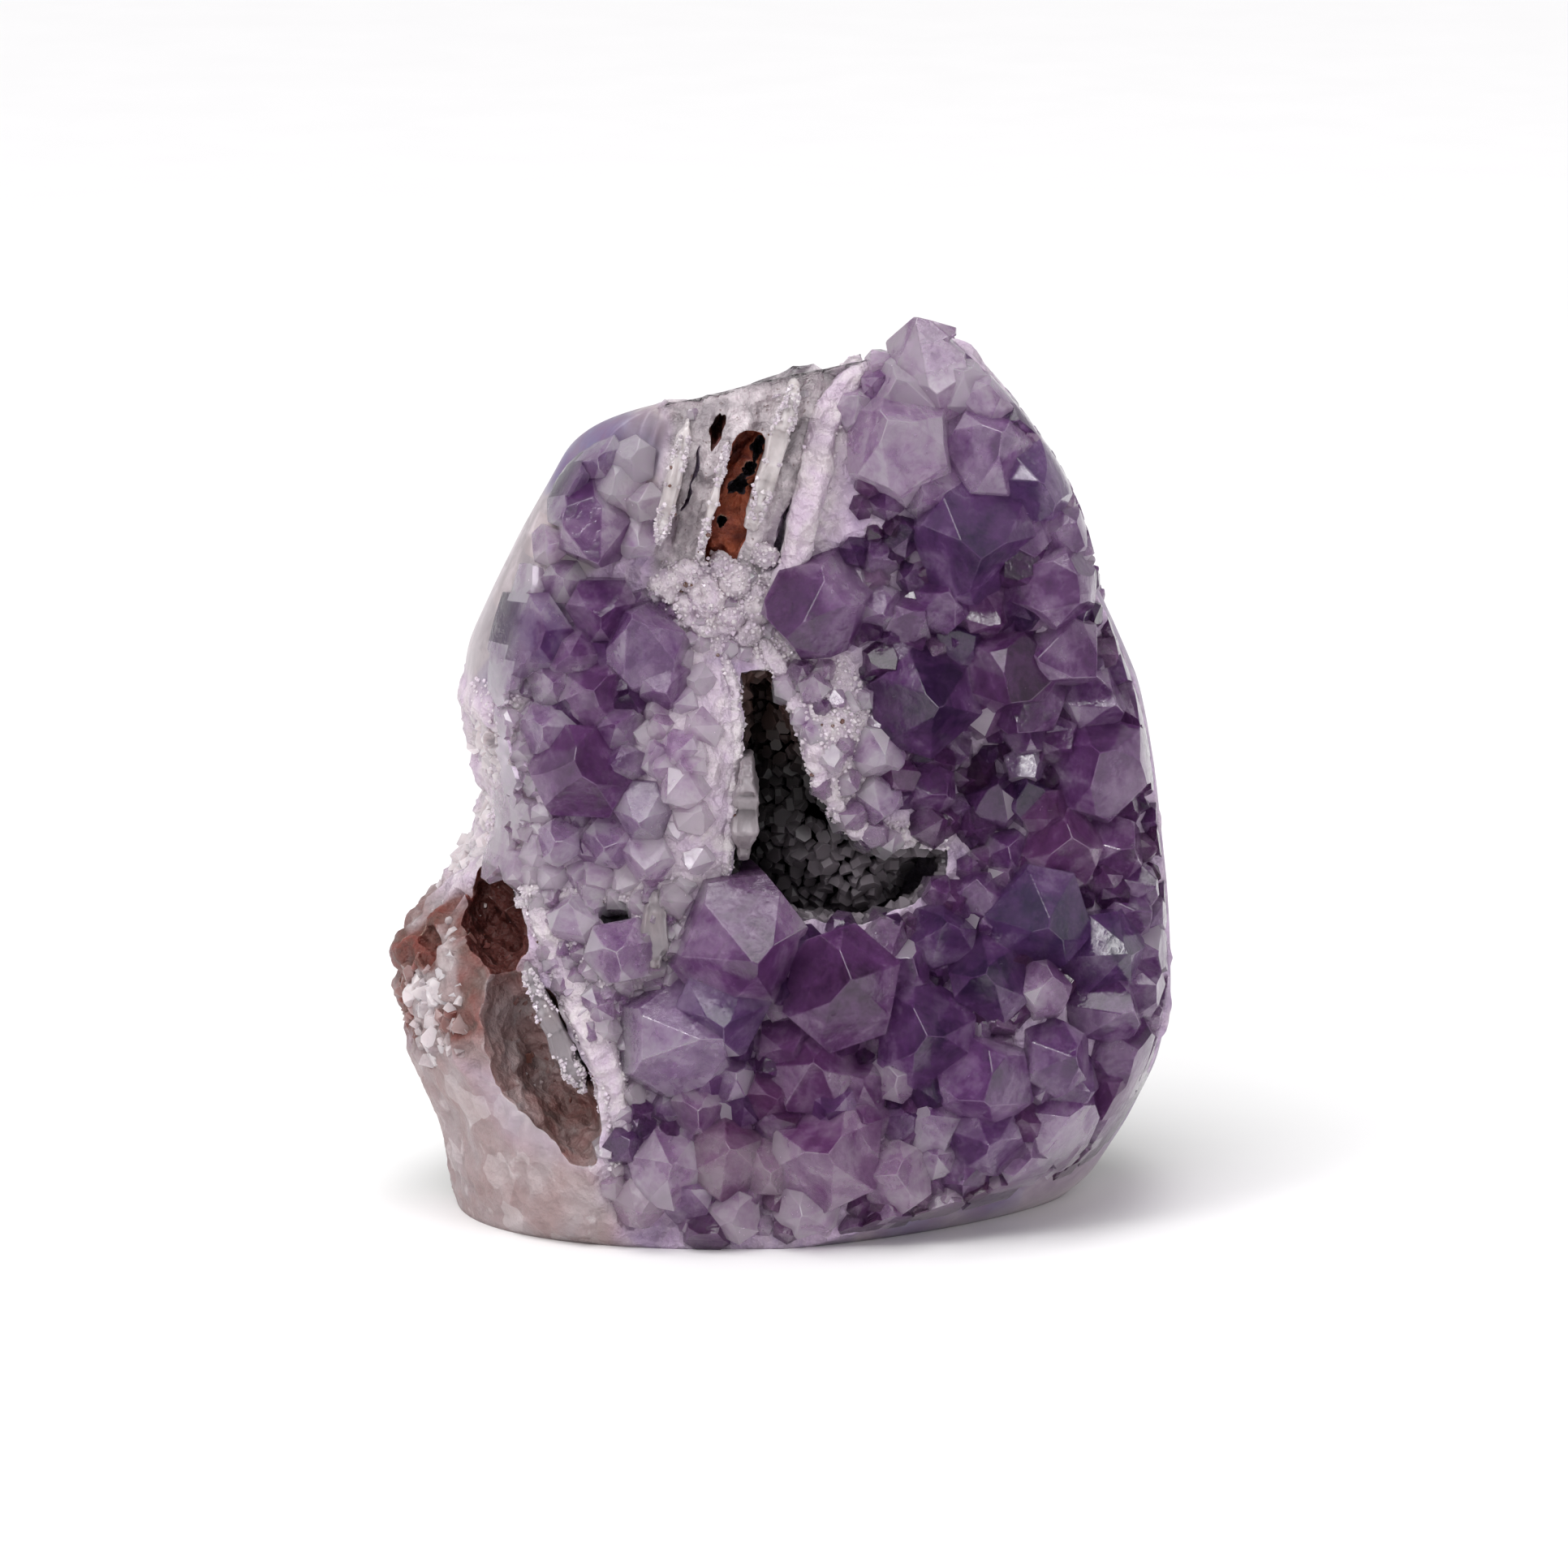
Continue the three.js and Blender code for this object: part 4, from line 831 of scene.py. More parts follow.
def crystal_objects(centres, axes, widths, sunk, turns, rng, first_number, bevel):
    """One solid for each crystal, numbered on its faces."""
    frames = turned_frames(axes, turns)
    solids = []
    for number, (centre, turn, width) in enumerate(zip(centres, frames, widths)):
        corners, faces = quartz_point(width, sunk * width, rng)
        name = f"point_{first_number + number}"
        solid = new_object(name, corners @ turn.T + centre, faces, crystal=first_number + number)
        if bevel:
            shape = bmesh.new()
            shape.from_mesh(solid.data)
            bmesh.ops.bevel(shape, geom=shape.edges[:], offset=bevel * MM, segments=1, affect="EDGES",
                            profile=0.5, clamp_overlap=True)
            shape.to_mesh(solid.data)
            shape.free()
            numbers = np.full(len(solid.data.polygons), first_number + number, np.int32)
            solid.data.attributes["crystal"].data.foreach_set("value", numbers)
        solids.append(solid)
    return solids, frames


def scattered_places(outline, spacing, rng):
    """Places inside an outline on a loose hexagonal grid, each moved by up to a third of the spacing."""
    corners = np.array(outline)
    low, high = corners.min(0), corners.max(0)
    rows = int((high[1] - low[1]) / (spacing * HEXAGONAL_RISE)) + 1
    columns = int((high[0] - low[0]) / spacing) + 1
    row, column = np.meshgrid(np.arange(rows), np.arange(columns), indexing="ij")
    across = low[0] + (column + 0.5 * (row % 2)) * spacing
    up = low[1] + row * spacing * HEXAGONAL_RISE
    moves = rng.uniform(-0.34, 0.34, (rows * columns, 2)) * spacing
    places = np.stack([across.ravel(), up.ravel()], -1) + moves
    return places[inside_share(places[:, 0], places[:, 1], outline, 0.01) > 0.5]


def polished_limit():
    """The outside drawn in a little and bulged at the front, so that crystals stand out there but end where
    the sides are polished: the bulge is 8 mm times the root of a sine across the front."""
    bulge, bulge_from, bulge_to = 8.0, -43.5, 51.0

    def depth(x, z, y):
        share = np.clip((x - bulge_from) / (bulge_to - bulge_from), 0, 1)
        return y - bulge * smoothstep(z, 0, 11) * np.sqrt(np.sin(np.pi * share))

    rings = outside_rings(section_rows(70), 90, 40, depth)
    rings[..., 0] *= 0.998
    rings = rings + grid_normals(rings) * (0.9 * natural_top(rings))[..., None]
    ledge = rings[-1:] + (rings[-1:] - rings[-1:].mean(1)) * 0.12 + np.array([0, 0, 0.4])
    return ring_solid("limit", np.concatenate([rings, ledge, ledge + np.array([0, 0, 14.0])]), crystal=-1)


def in_mouth(room, across, up, margin):
    """Whether places on the front lie in a pocket's opening: an ellipse of its halves, turned as it is."""
    middle_x, middle_up = room["place"][:2]
    cos, sin = np.cos(room["turn"]), np.sin(room["turn"])
    side = (across - middle_x) * cos - (up - middle_up) * sin
    along = (across - middle_x) * sin + (up - middle_up) * cos
    return (side / (room["half"][0] + margin)) ** 2 + (along / (room["half"][2] + margin)) ** 2 < 1


def bed_crystals(sizes, rng):
    """The listed crystals and those that fill the bed between them, clear of the openings: centres, axes,
    widths, darkness and warmth. Also how many are listed."""
    listed = np.array([*PEAK, *RIGHT_EDGE, *BOWL, *MIDDLE, *FOOT, *LEFT_PANEL])
    listed = np.column_stack([listed, np.full(len(listed), LISTED_RISE)])
    listed[:, 2] *= sizes.growth
    parts = [listed]
    for outline, spacing, thin, thick, dark_from, dark_to, warm_from, warm_to, rise in FILLS:
        places = scattered_places(outline, spacing, rng)
        count = len(places)
        parts.append(np.column_stack([
            places, rng.uniform(thin, thick, count), rng.uniform(-0.45, 0.45, (count, 2)),
            rng.uniform(dark_from, dark_to, count), rng.uniform(warm_from, warm_to, count),
            rise + rng.uniform(-0.08, 0.12, count)]))
    rows = np.concatenate(parts)
    across, up = rows[:, :2].T
    is_listed = np.arange(len(rows)) < len(listed)
    free = np.ones(len(rows), bool)
    for x, z, wide in listed[:, :3]:
        free &= np.hypot(across - x, up - z) > 0.4 * wide
    for outline in (CAVE_MOUTH, MOULD_OPENING, CUT_SHOULDER, PANEL_STRIP):
        free &= inside_share(across, up, outline, 0.01) < 0.5
    for room in (LONG_POCKET, LEFT_HOLE, LEDGE_HOLE):
        free &= ~in_mouth(room, across, up, 0.8)
    free |= is_listed
    across, up, width, lean_right, lean_up, dark, warm, rise = rows[free].T
    is_listed = is_listed[free]
    # Paler at the peak and at the foot, where the crystals are also warmer.
    dark = np.where(is_listed, dark - 0.12 * smoothstep(up, 98, 106) * (dark < 0.6),
                    dark * (1 - 0.5 * smoothstep(up, 96, 110)))
    dark = dark - 0.24 * (1 - smoothstep(up, 12, 24)) * smoothstep(up, 0, 4)
    warm = warm + np.where(is_listed, 0.12, 0.35) * (1 - smoothstep(up, 8, 22))
    centre = on_bed(across, up)
    outward = bed_normal(centre)
    wobble = rng.uniform(-0.08, 0.08, (len(across), 2))
    axis = unit(np.stack([outward[:, 0] * 0.6 + lean_right + wobble[:, 0], outward[:, 1],
                          outward[:, 2] * 0.6 + lean_up + 0.1 + wobble[:, 1]], -1))
    return (centre + axis * (rise * width)[:, None], axis, width, dark, warm), len(listed)


def crest_crystals(rng):
    """Crystals on the rough ridge and right edge, smaller and paler to the left, as in bed_crystals()."""

    def rough(points):
        return (natural_top(points) > 0.6) & (points[..., 1] < 5 + 5 * fractal(points, 8, 2, 175))

    at, out = skin_places(rough, rng, 2.7)
    count = len(at)
    violet = smoothstep(at[:, 0], 10, 18)
    axis = unit(out + np.array([0, -0.25, 0.1]) + rng.normal(0, 0.25, out.shape))
    width = rng.uniform(2.6, 5.4, count) * (0.55 + 0.45 * violet)
    dark = rng.uniform(0.0, 0.65, count) * (0.15 + 0.85 * violet)
    sunk = 0.55 + 0.18 * width + 0.7 * (1 - violet)
    return at - out * sunk[:, None], axis, width, dark, rng.uniform(-0.3, 0.3, count)


def build_amethyst(sizes, material):
    """Grows the listed crystals and the smaller ones between them as one solid, cut at the polished sides
    and at the cave, and stores how dark and warm each is, its height share, a tone for each face, and which
    faces are bright."""
    rng = np.random.default_rng(sizes.seed)
    on_the_bed, many = bed_crystals(sizes, rng)
    centre, axis, width, dark, warm = (
        np.concatenate(pair) for pair in zip(on_the_bed, crest_crystals(rng)))
    turn = rng.uniform(0, 2 * np.pi, len(width))
    solids, frames = [], []
    # The listed crystals have worn edges and reach less deep.
    for start, end, sunk, wear in ((0, many, 0.6, sizes.edge_wear), (many, len(width), 0.7, 0.0)):
        part = slice(start, end)
        made = crystal_objects(centre[part], axis[part], width[part], sunk, turn[part], rng, start, wear)
        solids += made[0]
        frames.append(made[1])
    points = combine(solids[0], solids[1:], "UNION")
    combine(points, [polished_limit()], "INTERSECT")
    combine(points, [ring_solid("room", room_rings(CAVE_ROOM, 40, 60), crystal=-1)], "DIFFERENCE")
    mesh = points.data
    at, face = corner_data(mesh)
    number = take(mesh, "crystal")
    face_middle = read(mesh.polygons, "center", 3) / MM - SHIFT
    for cut_face in np.flatnonzero(number < 0):
        far = np.linalg.norm(centre - face_middle[cut_face], axis=1) - 0.4 * width
        number[cut_face] = np.argmin(far)
    normal = read(mesh.polygons, "normal", 3)
    local = np.einsum("ni,nij->nj", normal, np.concatenate(frames)[number])
    azimuth = np.arctan2(local[:, 1], local[:, 0])
    tone = scrambled(number * 12.9898 + np.round(azimuth * 3 / np.pi) * 78.233)
    # Part of each face's tone is painted shade: faces that point up are darker.
    tone = 0.65 * tone + 0.35 * (0.5 + 0.5 * normal[:, 2])
    crystal = number[face]
    height = np.einsum("ni,ni->n", at - centre[crystal], axis[crystal])
    share = np.clip(height / (width[crystal] * POINT_SLOPE / 2), -0.6, 1)
    # The facet nearest to each place of a painted highlight, of those that face the view and are 1.5 to 9
    # square mm large.
    across, up = to_view(face_middle)
    area = read(mesh.polygons, "area") / MM ** 2
    facing = normal @ np.array([0, -np.cos(SIGHT_TILT), np.sin(SIGHT_TILT)])
    seen = (facing > 0.25) & (area > 1.5) & (area < 9)
    bright = np.zeros(len(mesh.polygons))
    for x, z in PAINTED_GLINT_FACETS:
        bright[np.argmin(np.where(seen, np.hypot(across - x, up - z), FAR))] = 1
    # Painted shade: darker deep down near the bed, between the crystals, on the darker crystals only.
    low = smoothstep(at[:, 1] - bed_depth(at[:, 0], at[:, 2]), -4.5, 0.5) * (1 - natural_top(at))
    store(mesh, dark=dark[crystal], warm=warm[crystal], height=share, sector=np.cos(3 * azimuth)[face],
          tone=tone[face], bright=bright[face], low=low * smoothstep(dark[crystal], 0.15, 0.4))
    return finish_piece(points, "amethyst_crystals", material, "amethyst_druse", False)


def build_body(sizes, material):
    """Makes the quartz that carries the crystals: the outside with its front set back to the bed, and the
    cave, pockets and slots cut into it, with the red floor of the widest slot put back."""
    rings = outside_rings(section_rows(sizes.body_rows), sizes.front_columns, sizes.back_columns,
                          lambda x, z, y: np.maximum(bed_depth(x, z), y))
    rings = rings + grid_normals(rings) * body_relief(rings)[..., None]
    body = ring_solid("body", rings, origin=FROM_OUTSIDE)
    # Rows and columns of each hollow's wall, and the height of its grain in mm.
    hollows = ((LONG_POCKET, 60, 90, 0.8, FROM_POCKET), (LEFT_HOLE, 50, 70, 0.7, FROM_LEFT_HOLE),
               (SIDE_HOLLOW, 30, 40, 0.5, FROM_SIDE_HOLLOW), (LEDGE_HOLE, 30, 40, 0.4, FROM_LEDGE),
               (RED_HOLE, 30, 40, 0.2, FROM_RED_HOLE))
    slots = ((MOULD_SLOT, FROM_MOULD), (RIGHT_GAP, FROM_GAP), (LEFT_GAP, FROM_GAP))
    combine(body, [
        ring_solid("mouth", mouth_rings(CAVE_MOUTH, -60, -10, 60), origin=FROM_MOUTH),
        *(ring_solid("hollow", room_rings(room, rows, columns, grain=grain), origin=origin)
          for room, rows, columns, grain, origin in hollows),
        *(ring_solid("slot", slot_rings(slot, 40, 90), origin=origin) for slot, origin in slots),
        ring_solid("room", room_rings(CAVE_ROOM, 60, 90), origin=FROM_ROOM),
    ], "DIFFERENCE")
    clay = ring_solid("clay", room_rings(MOULD_FLOOR, 60, 60, grain=1.3), origin=FROM_MOULD)
    combine(body, [clay], "UNION")
    combine(body, [ring_solid("hole", room_rings(hole, 20, 24, grain=0.5), origin=FROM_LEDGE)
                   for hole in MOULD_HOLES], "DIFFERENCE")
    mesh = body.data
    at, face = corner_data(mesh)
    origin = take(mesh, "origin")[face]
    store(mesh, **body_shares(at, origin))
    return finish_piece(body, "quartz_body", material, "amethyst_druse", True)


def body_shares(at, origin):
    """How far each look of the body holds at its corners, from 0 to 1: ground skin, white coat, grey, rust,
    massive quartz, rind, darkness, clay and cut crystals. Also how far behind the bed each lies, in mm."""
    x, y, z = at.T
    across, up = to_view(at)
    behind = y - bed_depth(x, z)
    outside = origin == FROM_OUTSIDE
    crown = natural_top(at)
    ragged = 1.2 * fractal(at, 4, 2, 101)
    left = smoothstep(-x, 34, 38) * smoothstep(z, 20, 26) * (1 - smoothstep(z, 70, 76))
    rocky = smoothstep(z, 42, 48)
    ground = inside_share(across, up, CUT_SHOULDER, 1) * outside * (y < -8)
    inner = smoothstep(behind, 0.8, 2.0)
    bed = np.where(outside, 1 - inner, 0) * (1 - ground)
    # White with fine druse on the white zones, the rough crown and the upper left edge.
    coat = bed * any_zone(across + ragged, up + ragged, WHITES, 1.5)
    coat = coat * (1 - 0.2 * inside_share(across, up, WHITE_PANEL, 2))
    coat = np.maximum(coat, np.where(outside & (behind > 1), crown * 0.7, 0))
    coat = np.maximum(coat, np.where(outside, left * rocky, 0))
    # Grey between the plates, and in leaning streaks on the ground shoulder.
    streak = np.clip(0.6 + 0.8 * fractal(leaning(at, 0.6, 0.2), 2.5, 2, 155), 0, 1)
    streak = streak * ground * np.exp(-((across + 34) / 5) ** 2 - ((up - 95) / 6) ** 2)
    grey = np.maximum(bed * inside_share(across + ragged, up + ragged, PLATE_ZONE, 1.5), streak)
    # Rust on the lobe and in the hollows, more than 1 where it is deep, and most on the pocket's right side.
    lobe = any_zone(across + ragged, up + ragged, (RUSTY_LOBE,), 2.5) * np.clip(1.5 * lobe_stain(at), 0, 1)
    side = (across - LONG_POCKET["place"][0]) * 0.887 + (up - LONG_POCKET["place"][1]) * 0.462
    pocket = 0.6 + 0.4 * smoothstep(side, 3, 6) + 0.35 * fractal(at, 6, 2, 147)
    rust = {FROM_OUTSIDE: lobe, FROM_POCKET: pocket, FROM_LEFT_HOLE: 1.8, FROM_SIDE_HOLLOW: 1.3,
            FROM_RED_HOLE: 1.2, FROM_MOULD: 1}
    # Darkness of the hollows' walls: the cave's dark quartz in its mouth and room, and painted shade in the
    # ledge hole, the gaps between the plates and the left hole.
    dark = {FROM_MOUTH: 0.8, FROM_ROOM: 1, FROM_LEDGE: 0.95, FROM_GAP: 0.35, FROM_LEFT_HOLE: 0.15}
    rust, dark = (np.select([origin == source for source in shares], list(shares.values()), 0)
                  for shares in (rust, dark))
    massive = inside_share(across, up, MASSIVE_FOOT, 3) * (1 - smoothstep(y, -5, 15))
    massive = np.where(outside, np.maximum(massive, left * (1 - rocky)), origin == FROM_POCKET)
    skin = np.maximum(np.where(outside, inner * (1 - crown), 0), ground) * (1 - left) * (1 - 0.8 * massive)
    rind = np.where(outside, smoothstep(behind + 3 * fractal(at, 9, 3, 111), 27, 33), 0)
    violet = smoothstep(x, -12, 15) * (1 - smoothstep(z, 86, 100)) * (0.35 + 0.65 * smoothstep(z, 4, 12))
    # Hexagons where the polish cuts crystals, darkest in the middle.
    cut = np.zeros(len(at))
    for cut_x, cut_up, radius, depth in CUT_CRYSTALS:
        far = np.max([np.abs((across - cut_x) * np.cos(turn) + (up - cut_up) * np.sin(turn))
                      for turn in radius + np.arange(3) * np.pi / 3], axis=0) / radius
        fading = (1 - smoothstep(far, 0.84, 0.96)) * (1 - 0.5 * smoothstep(far, 0.2, 0.9))
        cut = np.maximum(cut, depth * fading)
    return {"skin": skin, "coat": coat, "grey": grey, "rust": rust, "massive": massive, "rind": rind,
            "dark": dark, "behind": behind, "violet": violet, "cut": cut * (y < -2),
            "clay": origin == FROM_MOULD}


def ball_rings(centre, radius, rows, columns, seed):
    """A lumpy ball, ring by ring from its front pole to its back pole."""
    direction = ball_directions(rows, columns)
    point = centre + direction * radius
    return point + direction * (0.6 * fractal(point, 1.9, 3, seed) * min(1, radius / 2))[..., None]


def edge_surfaces():
    """Rings of each plate edge and each milky lump."""
    surfaces = [rim_rings(*values) for values in RIMS.values()]
    for number, (across, up, radius) in enumerate(NODULES):
        centre = on_bed(across, up) + np.array([0, radius * 0.45, 0])
        surfaces.append(ball_rings(centre, radius, 26, 36, LUMP_SEED + number))
    return surfaces


def build_edges(material):
    """Makes the free edges of the quartz plates and the round milky lumps between them."""
    pieces = [ring_solid("edge", rings) for rings in edge_surfaces()]
    edges = combine(pieces[0], pieces[1:], "UNION")
    at, _ = corner_data(edges.data)
    shares = dict.fromkeys(BODY_LOOKS, np.zeros(len(at)))
    shares["coat"] = np.ones(len(at))
    shares["grey"] = smoothstep(fractal(at, 5, 2, 131), 0.0, 0.8) * 0.5
    store(edges.data, **shares)
    return finish_piece(edges, "plate_edges", material, "amethyst_druse", True)


def chunk(width, rng):
    """An irregular block: six far planes across the axes and ten more in directions picked by chance."""
    box = np.concatenate([np.eye(3), -np.eye(3)])
    faces = []
    while not faces or not closed(faces):
        normals = np.concatenate([box, unit(rng.normal(size=(10, 3)))])
        far = np.concatenate([np.full(6, 0.75), rng.uniform(0.36, 0.55, 10)]) * width
        corners, faces = faceted(normals, far)
    return corners, faces


def skin_places(keep, rng, spacing):
    """Places and outward directions on the outside, where keep(points) holds."""
    rings = outside_rings(section_rows(150), 240, 90, lambda x, z, y: y)
    normals = grid_normals(rings)
    chosen = keep(rings) & (rings[..., 1] > bed_depth(rings[..., 0], rings[..., 2]) - 0.5)
    at, out = rings[chosen], normals[chosen]
    picked = spread_out(at, spacing, rng)
    return at[picked], out[picked]


def lobe_stain(points):
    """Share of iron stain on the left lobe: cloudy, strong at its left edge, none on white patches, at the
    foot and above."""
    across, up = to_view(points)
    stain = 0.82 + 1.1 * fractal(points, 6, 3, 149) + 0.6 * smoothstep(-across, 50, 52.5)
    for x, z, wide, high in WHITE_PATCHES:
        stain = stain - 1.3 * np.exp(-((across - x) / wide) ** 2 - ((up - z) / high) ** 2)
    return np.clip(stain, 0, 1) * smoothstep(up, 24, 33) * (1 - smoothstep(up, 46, 51))


def stained_places(rng):
    """Where blocky quartz grows, in groups: its places, its outward directions, its widths, how stained it
    is, and whether it lies in a pocket's wall."""

    def on_left(low, high, reach, seed):
        def keep(points):
            x, y, z = np.moveaxis(points, -1, 0)
            return (x < -36) & (z > low) & (z < high) & (y < reach + 5 * fractal(points, 9, 2, seed))
        return keep

    at, out = skin_places(on_left(24, 50, 8, 171), rng, 1.9)
    yield at, out, rng.uniform(1.0, 3.2, len(at)), lobe_stain(at), False
    at, out = skin_places(on_left(46, 73, 6, 173), rng, 1.7)
    yield at, out, rng.uniform(1.2, 3.4, len(at)), np.zeros(len(at)), False
    places = scattered_places(RUSTY_LOBE, 1.9, rng)
    at, inside = on_front(places[:, 0], places[:, 1])
    at = at[inside]
    yield at, bed_normal(at), rng.uniform(1.0, 3.2, len(at)), lobe_stain(at), False
    for room, stain, spacing in ((LONG_POCKET, 0.8, 1.2), (LEFT_HOLE, 1.6, 1.3)):
        wall = room_rings(room, 60, 80, grain=0.6)
        x, y, z = np.moveaxis(wall, -1, 0)
        skin, share = skin_depth(x, z)
        deep = (y > np.maximum(bed_depth(x, z), np.maximum(skin, -24)) + 3.5) & (share < 0.9)
        at, out = wall[deep], -grid_normals(wall)[deep]
        picked = spread_out(at, spacing, rng)
        stains = np.clip(stain + 0.5 * fractal(at[picked], 5, 2, 145), 0, 1.8)
        yield at[picked], out[picked], rng.uniform(0.7, 1.6, len(picked)), stains, True


def build_stained(sizes, material):
    """Breaks up the rusty lobe, the rough left edge and the walls of the pockets with blocky quartz, and
    stores how stained each block is."""
    rng = np.random.default_rng(sizes.seed + 3)
    groups = [(*group, np.full(len(group[0]), in_wall)) for *group, in_wall in stained_places(rng)]
    centres, axes, widths, stains, in_wall = (np.concatenate(values) for values in zip(*groups))
    across, up = to_view(centres)
    keep = np.ones(len(centres), bool)
    for room, margin in ((LONG_POCKET, 2.4), (LEFT_HOLE, 0.9), (SIDE_HOLLOW, 0.3)):
        keep &= ~in_mouth(room, across, up, margin) | in_wall | (centres[:, 1] >= -6)
    centres, axes, widths, stains = centres[keep], axes[keep], widths[keep], stains[keep]
    centres = centres - axes * (0.5 * widths)[:, None]
    turns = rng.normal(0, 0.35, axes.shape)
    frames = turned_frames(unit(axes + turns), rng.uniform(*ANY_TURN, len(axes)))
    blocks = []
    for number, (centre, turn, width) in enumerate(zip(centres, frames, widths)):
        corners, faces = quartz_point(width, 0.5 * width, rng) if number % 3 else chunk(width, rng)
        blocks.append(new_object("block", corners @ turn.T + centre, faces, block=number))
    stained = combine(blocks[0], blocks[1:], "UNION")
    mesh = stained.data
    _, face = corner_data(mesh)
    number = take(mesh, "block")[face]
    store(mesh, rust=stains[number], tone=scrambled(number * 91.17))
    return finish_piece(stained, "stained_quartz", material, "amethyst_druse", False)


def plate_rings(edge, lean, long, thick, reach, ragged, seed, rows=50, columns=210):
    """A calcite plate: an oblong of reach by length with tight corners, carried through its thickness by
    powers of sine and cosine, broken along its free edge, stepped along its length and thinner at its ends
    by the square of the distance, with notches."""
    angle = ring_angles(columns)
    across = np.pi * (np.arange(1, rows) / rows)[:, None]
    ring_share = np.sin(across) ** 0.12
    half = thick / 2 * power_wave(np.cos(across), PLATE_CORNER)
    deep = reach / 2 * (1 + power_wave(np.cos(angle), PLATE_CORNER) * ring_share)
    along = long / 2 * power_wave(np.sin(angle), PLATE_CORNER) * ring_share
    free = deep < reach * 0.6
    broken = ragged * fractal(np.stack([along, deep * 0.3, 0 * deep], -1), 2.6, 3, seed) * free
    through = np.stack(np.broadcast_arrays(along, half * 2, 0 * along), -1)
    broken = broken + 0.35 * fractal(through, 0.9, 1, seed)
    notches = fractal(np.stack([along, 0 * along, 0 * along], -1), 2.0, 3, seed + 3)
    lean = np.radians(lean)
    middle = from_view(*edge)
    side = half * np.clip(1 - 0.5 * (2 * along / long) ** 2 + 0.3 * notches, 0.3, 1.3)
    x = middle[0] + side * np.cos(lean) + along * np.sin(lean)
    y = middle[1] + deep + broken
    z = middle[2] - side * np.sin(lean) + along * np.cos(lean) * (1 + 0.02 * broken)
    ring = np.stack(np.broadcast_arrays(x, y, z), -1)
    step = leaning(ring, lean, 0.3)
    height = 0.1 * fractal(step, 1.3, 2, seed + 7) + 0.22 * np.abs(fractal(ring, 1.0, 2, seed + 9))
    return ring - grid_normals(ring) * height[..., None]


def build_plates(material):
    """Makes the six calcite plates and stores how stained and how shaded each is."""
    for number, (label, values) in enumerate(BLADES.items()):
        plate = ring_solid("plate", plate_rings(*values, seed=PLATE_SEED + PLATE_SEED_STEP * number))
        at, _ = corner_data(plate.data)
        stained = 0.6 if label == "top_middle" else 0.2
        shaded = 0.0 if label.startswith("top") else 0.9
        store(plate.data, stain=smoothstep(fractal(at, 3.5, 2, 7), 0.2, 0.9) * stained,
              shade=np.full(len(at), shaded))
        shape = bmesh.new()
        shape.from_mesh(plate.data)
        bmesh.ops.recalc_face_normals(shape, faces=shape.faces[:])
        shape.to_mesh(plate.data)
        shape.free()
        finish_piece(plate, f"calcite_plate_{label}", material, f"calcite_blade_{label}", True)


def micro_points(centres, axes, widths, turns, longs):
    """Many double-ended points at once: a hexagonal ring and two tips for each, 12 faces."""
    frames = turned_frames(axes, turns)
    around = np.arange(6) * np.pi / 3
    ring = np.stack([np.cos(around) / 2, np.sin(around) / 2, np.zeros(6)], -1)
    shape = np.concatenate([ring, [[0, 0, 1.0], [0, 0, -1.0]]])
    local = shape[None] * np.stack([widths, widths, longs], -1)[:, None]
    points = np.einsum("nij,nkj->nki", frames, local) + centres[:, None]
    here = np.arange(6)
    after = (here + 1) % 6
    high, low = np.stack([here, after, np.full(6, 6)], -1), np.stack([after, here, np.full(6, 7)], -1)
    faces = np.concatenate([high, low])[None] + 8 * np.arange(len(centres))[:, None, None]
    return points.reshape(-1, 3), faces.reshape(-1, 3)


def build_coat(sizes, material):
    """Scatters fine druse on the plate edges, the milky lumps and the white parts of the bed, but for the
    smooth right half of the left panel."""
    rng = np.random.default_rng(sizes.seed + 1)
    centres, axes = [], []
    for number, rings in enumerate(edge_surfaces()):
        normals = grid_normals(rings)
        count = sizes.coat_on_edges if number < len(RIMS) - 1 else sizes.coat_on_lumps
        row = rng.integers(1, rings.shape[0] - 1, count)
        column = rng.integers(0, rings.shape[1], count)
        keep = normals[row, column, 1] < 0.4
        centres.append(rings[row, column][keep])
        axes.append(normals[row, column][keep])
    for number, values in enumerate(list(BLADES.values())[:4]):
        rings = plate_rings(*values, seed=PLATE_SEED + PLATE_SEED_STEP * number)
        normals = grid_normals(rings) * -1
        free = rings[..., 1] < values[0][2] + 1.6
        chosen = rng.permutation(np.flatnonzero(free))[:sizes.coat_on_plates]
        centres.append(rings.reshape(-1, 3)[chosen])
        axes.append(normals.reshape(-1, 3)[chosen])
    for outline in (WHITE_LEFT, WHITE_BRIDGE, WHITE_WALL, WHITE_RIDGE):
        places = scattered_places(outline, sizes.coat_spacing, rng)
        places = places[inside_share(places[:, 0], places[:, 1], CAVE_MOUTH, 0.01) < 0.5]
        for room in (LONG_POCKET, LEFT_HOLE, LEDGE_HOLE):
            places = places[~in_mouth(room, places[:, 0], places[:, 1], 0.3)]
        at, inside = on_front(places[:, 0], places[:, 1])
        at = at[inside]
        out = bed_normal(at)
        centres.append(at + out * body_relief(at)[:, None])
        axes.append(out)
    centre = np.concatenate(centres)
    axis = unit(np.concatenate(axes) + rng.normal(0, 0.45, centre.shape))
    count = len(centre)
    width = rng.uniform(0.35, 0.9, count) * rng.uniform(0.8, 1.15, count)
    turn = rng.uniform(*ANY_TURN, count)
    points, faces = micro_points(centre, axis, width, turn, width * rng.uniform(0.4, 0.65, count))
    coat = new_object("druse", points, faces)
    # One point in 80 is a brown speck, and more in some patches.
    speck = rng.uniform(0, 1, count) < 0.012 + 0.1 * (fractal(centre, 5, 2, 151) > 0.75)
    tone = rng.uniform(0, 1, count)
    store(coat.data, domain="FACE", tone=np.repeat(tone, 12), speck=np.repeat(speck, 12))
    return finish_piece(coat, "fine_druse", material, "amethyst_druse", False)


